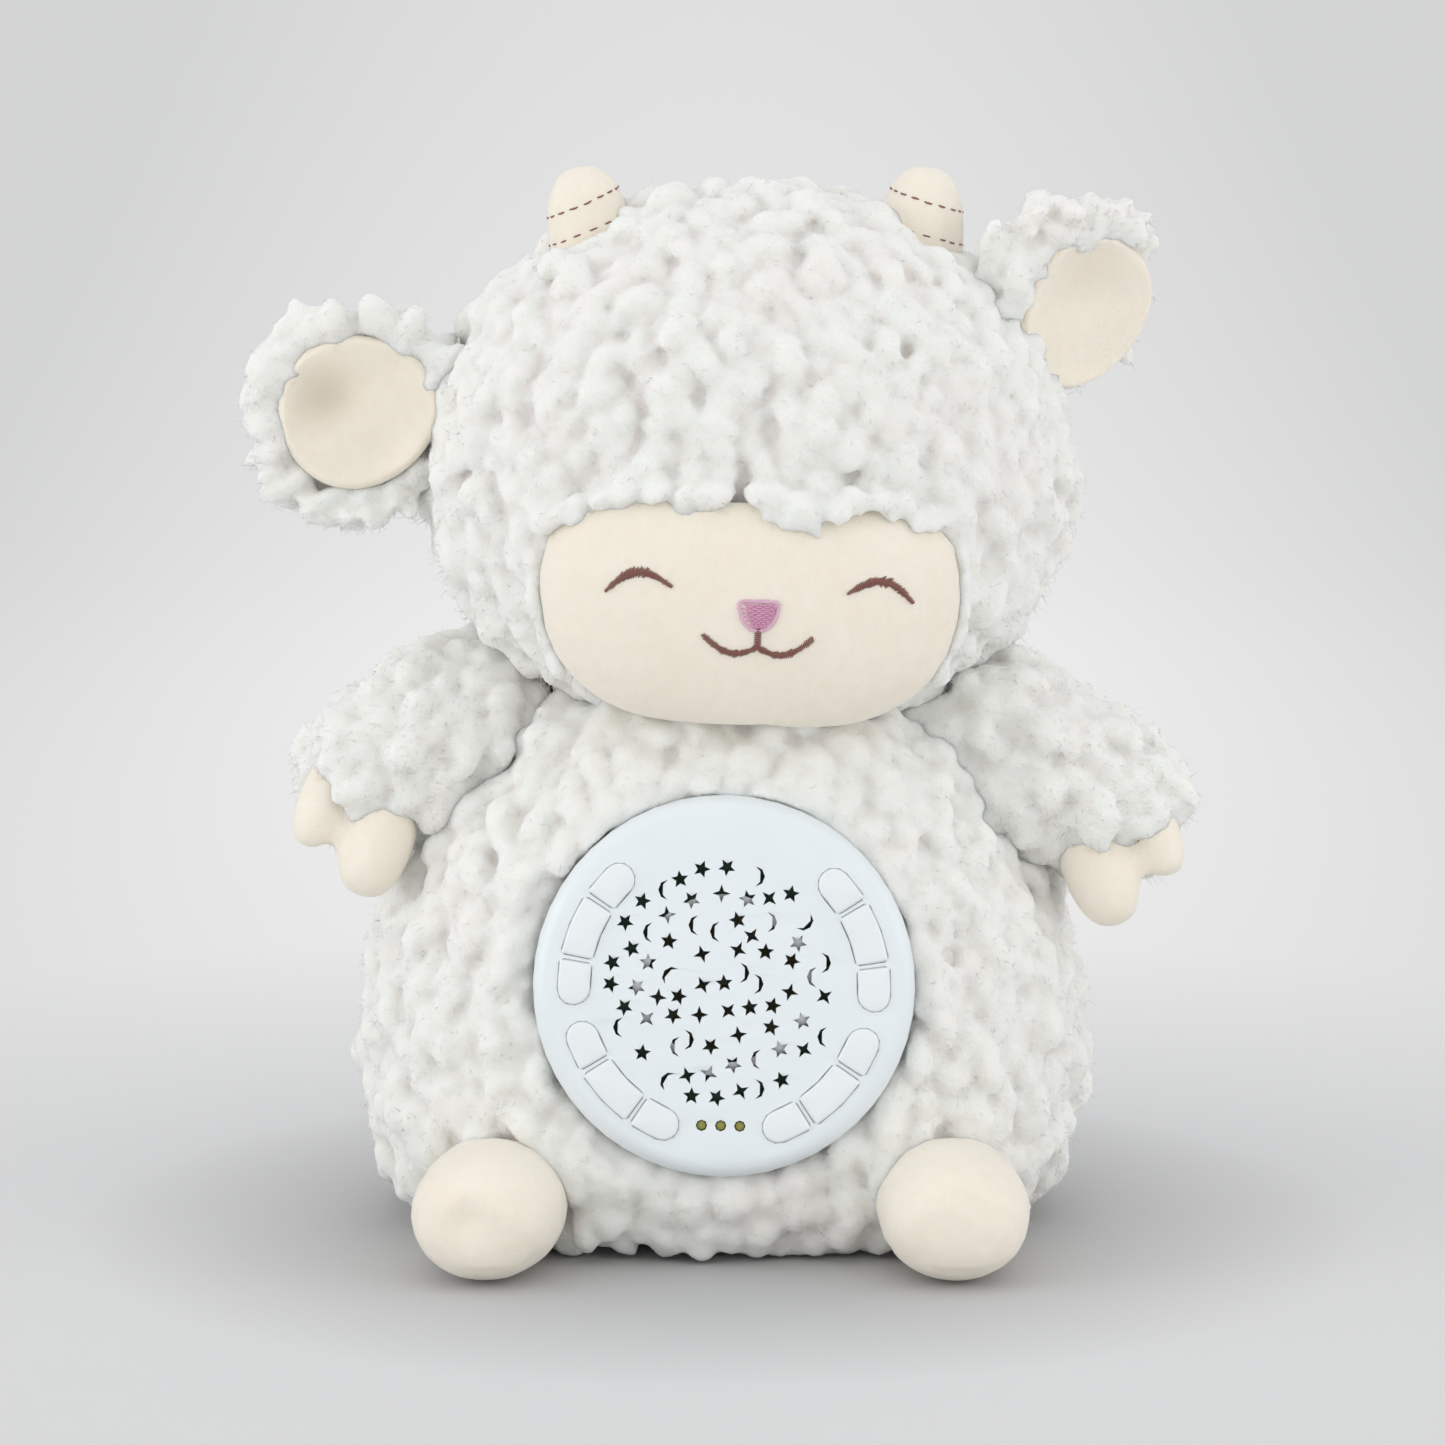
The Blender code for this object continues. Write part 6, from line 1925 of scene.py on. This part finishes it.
# Studio
@dataclass
class Studio:
    """Camera, lamps, floor and backdrop."""

    target: tuple = (0.0, 0.0, 134.1 * MM)
    distance: float = 1.8
    elevation: float = math.radians(9)
    lens: float = 165.8

    def build(self) -> None:
        """Sets up the whole studio."""
        self.camera()
        self.lamps()
        self.floor()
        scene = bpy.context.scene
        scene.view_settings.view_transform = "Standard"

    def camera(self) -> None:
        """The photograph's camera."""
        data = bpy.data.cameras.new("camera")
        data.lens = self.lens
        data.sensor_width = 36.0
        data.clip_end = 60.0
        camera = bpy.data.objects.new("camera", data)
        back = self.distance * math.cos(self.elevation)
        rise = self.distance * math.sin(self.elevation)
        camera.location = (self.target[0], self.target[1] - back, self.target[2] + rise)
        camera.rotation_euler = (math.pi / 2 - self.elevation, 0, 0)
        bpy.context.scene.collection.objects.link(camera)
        bpy.context.scene.camera = camera

    def lamps(self) -> None:
        """Large soft lamps round the toy and a pale world."""
        for name, place, size, power in (
            ("key", (-1.8, -0.8, 0.4), 1.4, 12.5),
            ("fill", (1.8, -0.8, 0.3), 1.6, 11.5),
            ("low", (0.0, -2.2, 0.0), 1.6, 5.0),
            ("top", (0.0, 0.0, 1.8), 1.6, 1.5),
            ("back", (0.3, 1.4, 1.2), 1.2, 2.0),
        ):
            data = bpy.data.lights.new(name, "AREA")
            data.shape = "SQUARE"
            data.size = size
            data.energy = power
            lamp = bpy.data.objects.new(name, data)
            lamp.location = place
            aim = Vector((0, 0, 0.12)) - Vector(place)
            lamp.rotation_euler = aim.to_track_quat("-Z", "Y").to_euler()
            bpy.context.scene.collection.objects.link(lamp)
        world = bpy.data.worlds.new("studio")
        world.use_nodes = True
        world.node_tree.nodes["Background"].inputs["Color"].default_value = (0.97, 0.98, 1.0, 1.0)
        world.node_tree.nodes["Background"].inputs["Strength"].default_value = 0.86
        bpy.context.scene.world = world

    def floor(self) -> None:
        """A swept paper floor: flat, then a wide bend up to a wall, with a painted shadow round the toy's
        base and, seen by the camera and in reflections, a painted pool of light that leaves it pale behind
        the toy.

        Row s of the sweep is flat up to the bend, follows a quarter circle and then rises.
        """
        flat, bend, wall, half = 1.2, 1.0, 3.0, 12.0
        turn = np.linspace(0, math.pi / 2, 24)
        y = np.concatenate(((-12.0, -1.0, 0.0, flat), flat + bend * np.sin(turn[1:]), (flat + bend,)))
        z = np.concatenate(((0.0, 0.0, 0.0, 0.0), bend * (1 - np.cos(turn[1:])), (bend + wall,)))
        x = np.linspace(-half, half, 5)
        grid = np.stack(np.broadcast_arrays(x[None], y[:, None], z[:, None]), -1)
        rows, columns = grid.shape[:2]
        i, j = np.meshgrid(np.arange(rows - 1), np.arange(columns - 1), indexing="ij")
        start = (i * columns + j).ravel()
        faces = np.stack((start, start + 1, start + columns + 1, start + columns), -1)
        mesh = bpy.data.meshes.new("paper")
        mesh.from_pydata(grid.reshape(-1, 3).tolist(), [], faces.tolist())
        mesh.shade_smooth()
        paper = bpy.data.objects.new("paper", mesh)
        bpy.context.scene.collection.objects.link(paper)
        sheet = Sheet("paper")
        place = sheet.place()
        spread = sheet.add("ShaderNodeMapping", {"vector_type": "TEXTURE"}, Vector=place,
                           Location=(0.0, 0.85, 0.0), Scale=(0.29, 1.05, 1.05))
        away = sheet.add("ShaderNodeVectorMath", {"operation": "LENGTH"})
        sheet.put(away.inputs[0], spread.outputs["Vector"])
        grain = sheet.noise(place, 3.0, 2.0)
        # Painted pool of light: the backdrop seen by the camera and in reflections is brightest behind the
        # toy and fades outward.
        fade = sheet.ramp(away.outputs["Value"], 0.3, 1.4)
        glow = sheet.mix(fade, (0.87, 0.87, 0.87), (0.65, 0.655, 0.655))
        open_floor = sheet.mix(sheet.ramp(grain, 0.2, 0.8), (0.71, 0.71, 0.71), (0.73, 0.73, 0.73))
        ground = sheet.add("ShaderNodeVectorMath", {"operation": "DISTANCE"})
        sheet.put(ground.inputs[0], place)
        ground.inputs[1].default_value = (0.0, -0.02, 0.0)
        # Painted shadow: the floor's colour drops to 0.52 within 85 mm of the toy's base and returns to its
        # own by 175 mm.
        near = sheet.mix(sheet.ramp(ground.outputs["Value"], 0.085, 0.175), (0.52, 0.52, 0.52), open_floor)
        sheet.set(Base_Color=near, Roughness=0.9, Specular_IOR_Level=0.1)
        seen = sheet.add("ShaderNodeLightPath").outputs
        eye = sheet.math("MAXIMUM", seen["Is Camera Ray"], sheet.math("MAXIMUM", seen["Is Glossy Ray"],
                                                                     seen["Is Transmission Ray"]))
        share = sheet.math("MULTIPLY", eye, sheet.ramp(ground.outputs["Value"], 0.16, 0.42))
        lamp = sheet.add("ShaderNodeEmission", None, Color=glow, Strength=1.0)
        blend = sheet.add("ShaderNodeMixShader")
        sheet.put(blend.inputs[0], share)
        sheet.put(blend.inputs[1], sheet.shader.outputs[0])
        sheet.put(blend.inputs[2], lamp.outputs[0])
        sheet.put(sheet.tree.nodes["Material Output"].inputs["Surface"], blend.outputs[0])
        mesh.materials.append(sheet.material)


def main() -> None:
    """Builds the toy's pieces in order, then the studio."""
    logging.basicConfig(level=logging.INFO, format="%(message)s")
    wardrobe = Wardrobe()
    module = (
        Matrix.Translation((0.4 * MM, -74 * MM, 76 * MM))
        @ Matrix.Rotation(math.pi / 2 - math.radians(8), 4, "X")
        @ Matrix.Rotation(math.radians(-1.4), 4, "Z")
    )
    Trunk(wardrobe, Stuffing(), module).build()
    Face(wardrobe).build()
    Horns(wardrobe).build()
    Ear(wardrobe, "left", (-71.996 * MM, -3 * MM, 226.945 * MM), math.radians(196), 0.0, up=-1).build()
    Ear(wardrobe, "right", (79.993 * MM, -3 * MM, 225.06 * MM), math.radians(64), math.radians(34),
        offset=-3.2 * MM).build()
    Arm(wardrobe, "left", -1, 53 * MM, (-0.88, -0.42, -0.22)).build()
    Arm(wardrobe, "right", 1, 66 * MM, (0.88, -0.28, -0.36)).build()
    Feet(wardrobe).build()
    Module(wardrobe, module).build()
    Studio().build()


if __name__ == "__main__":
    main()
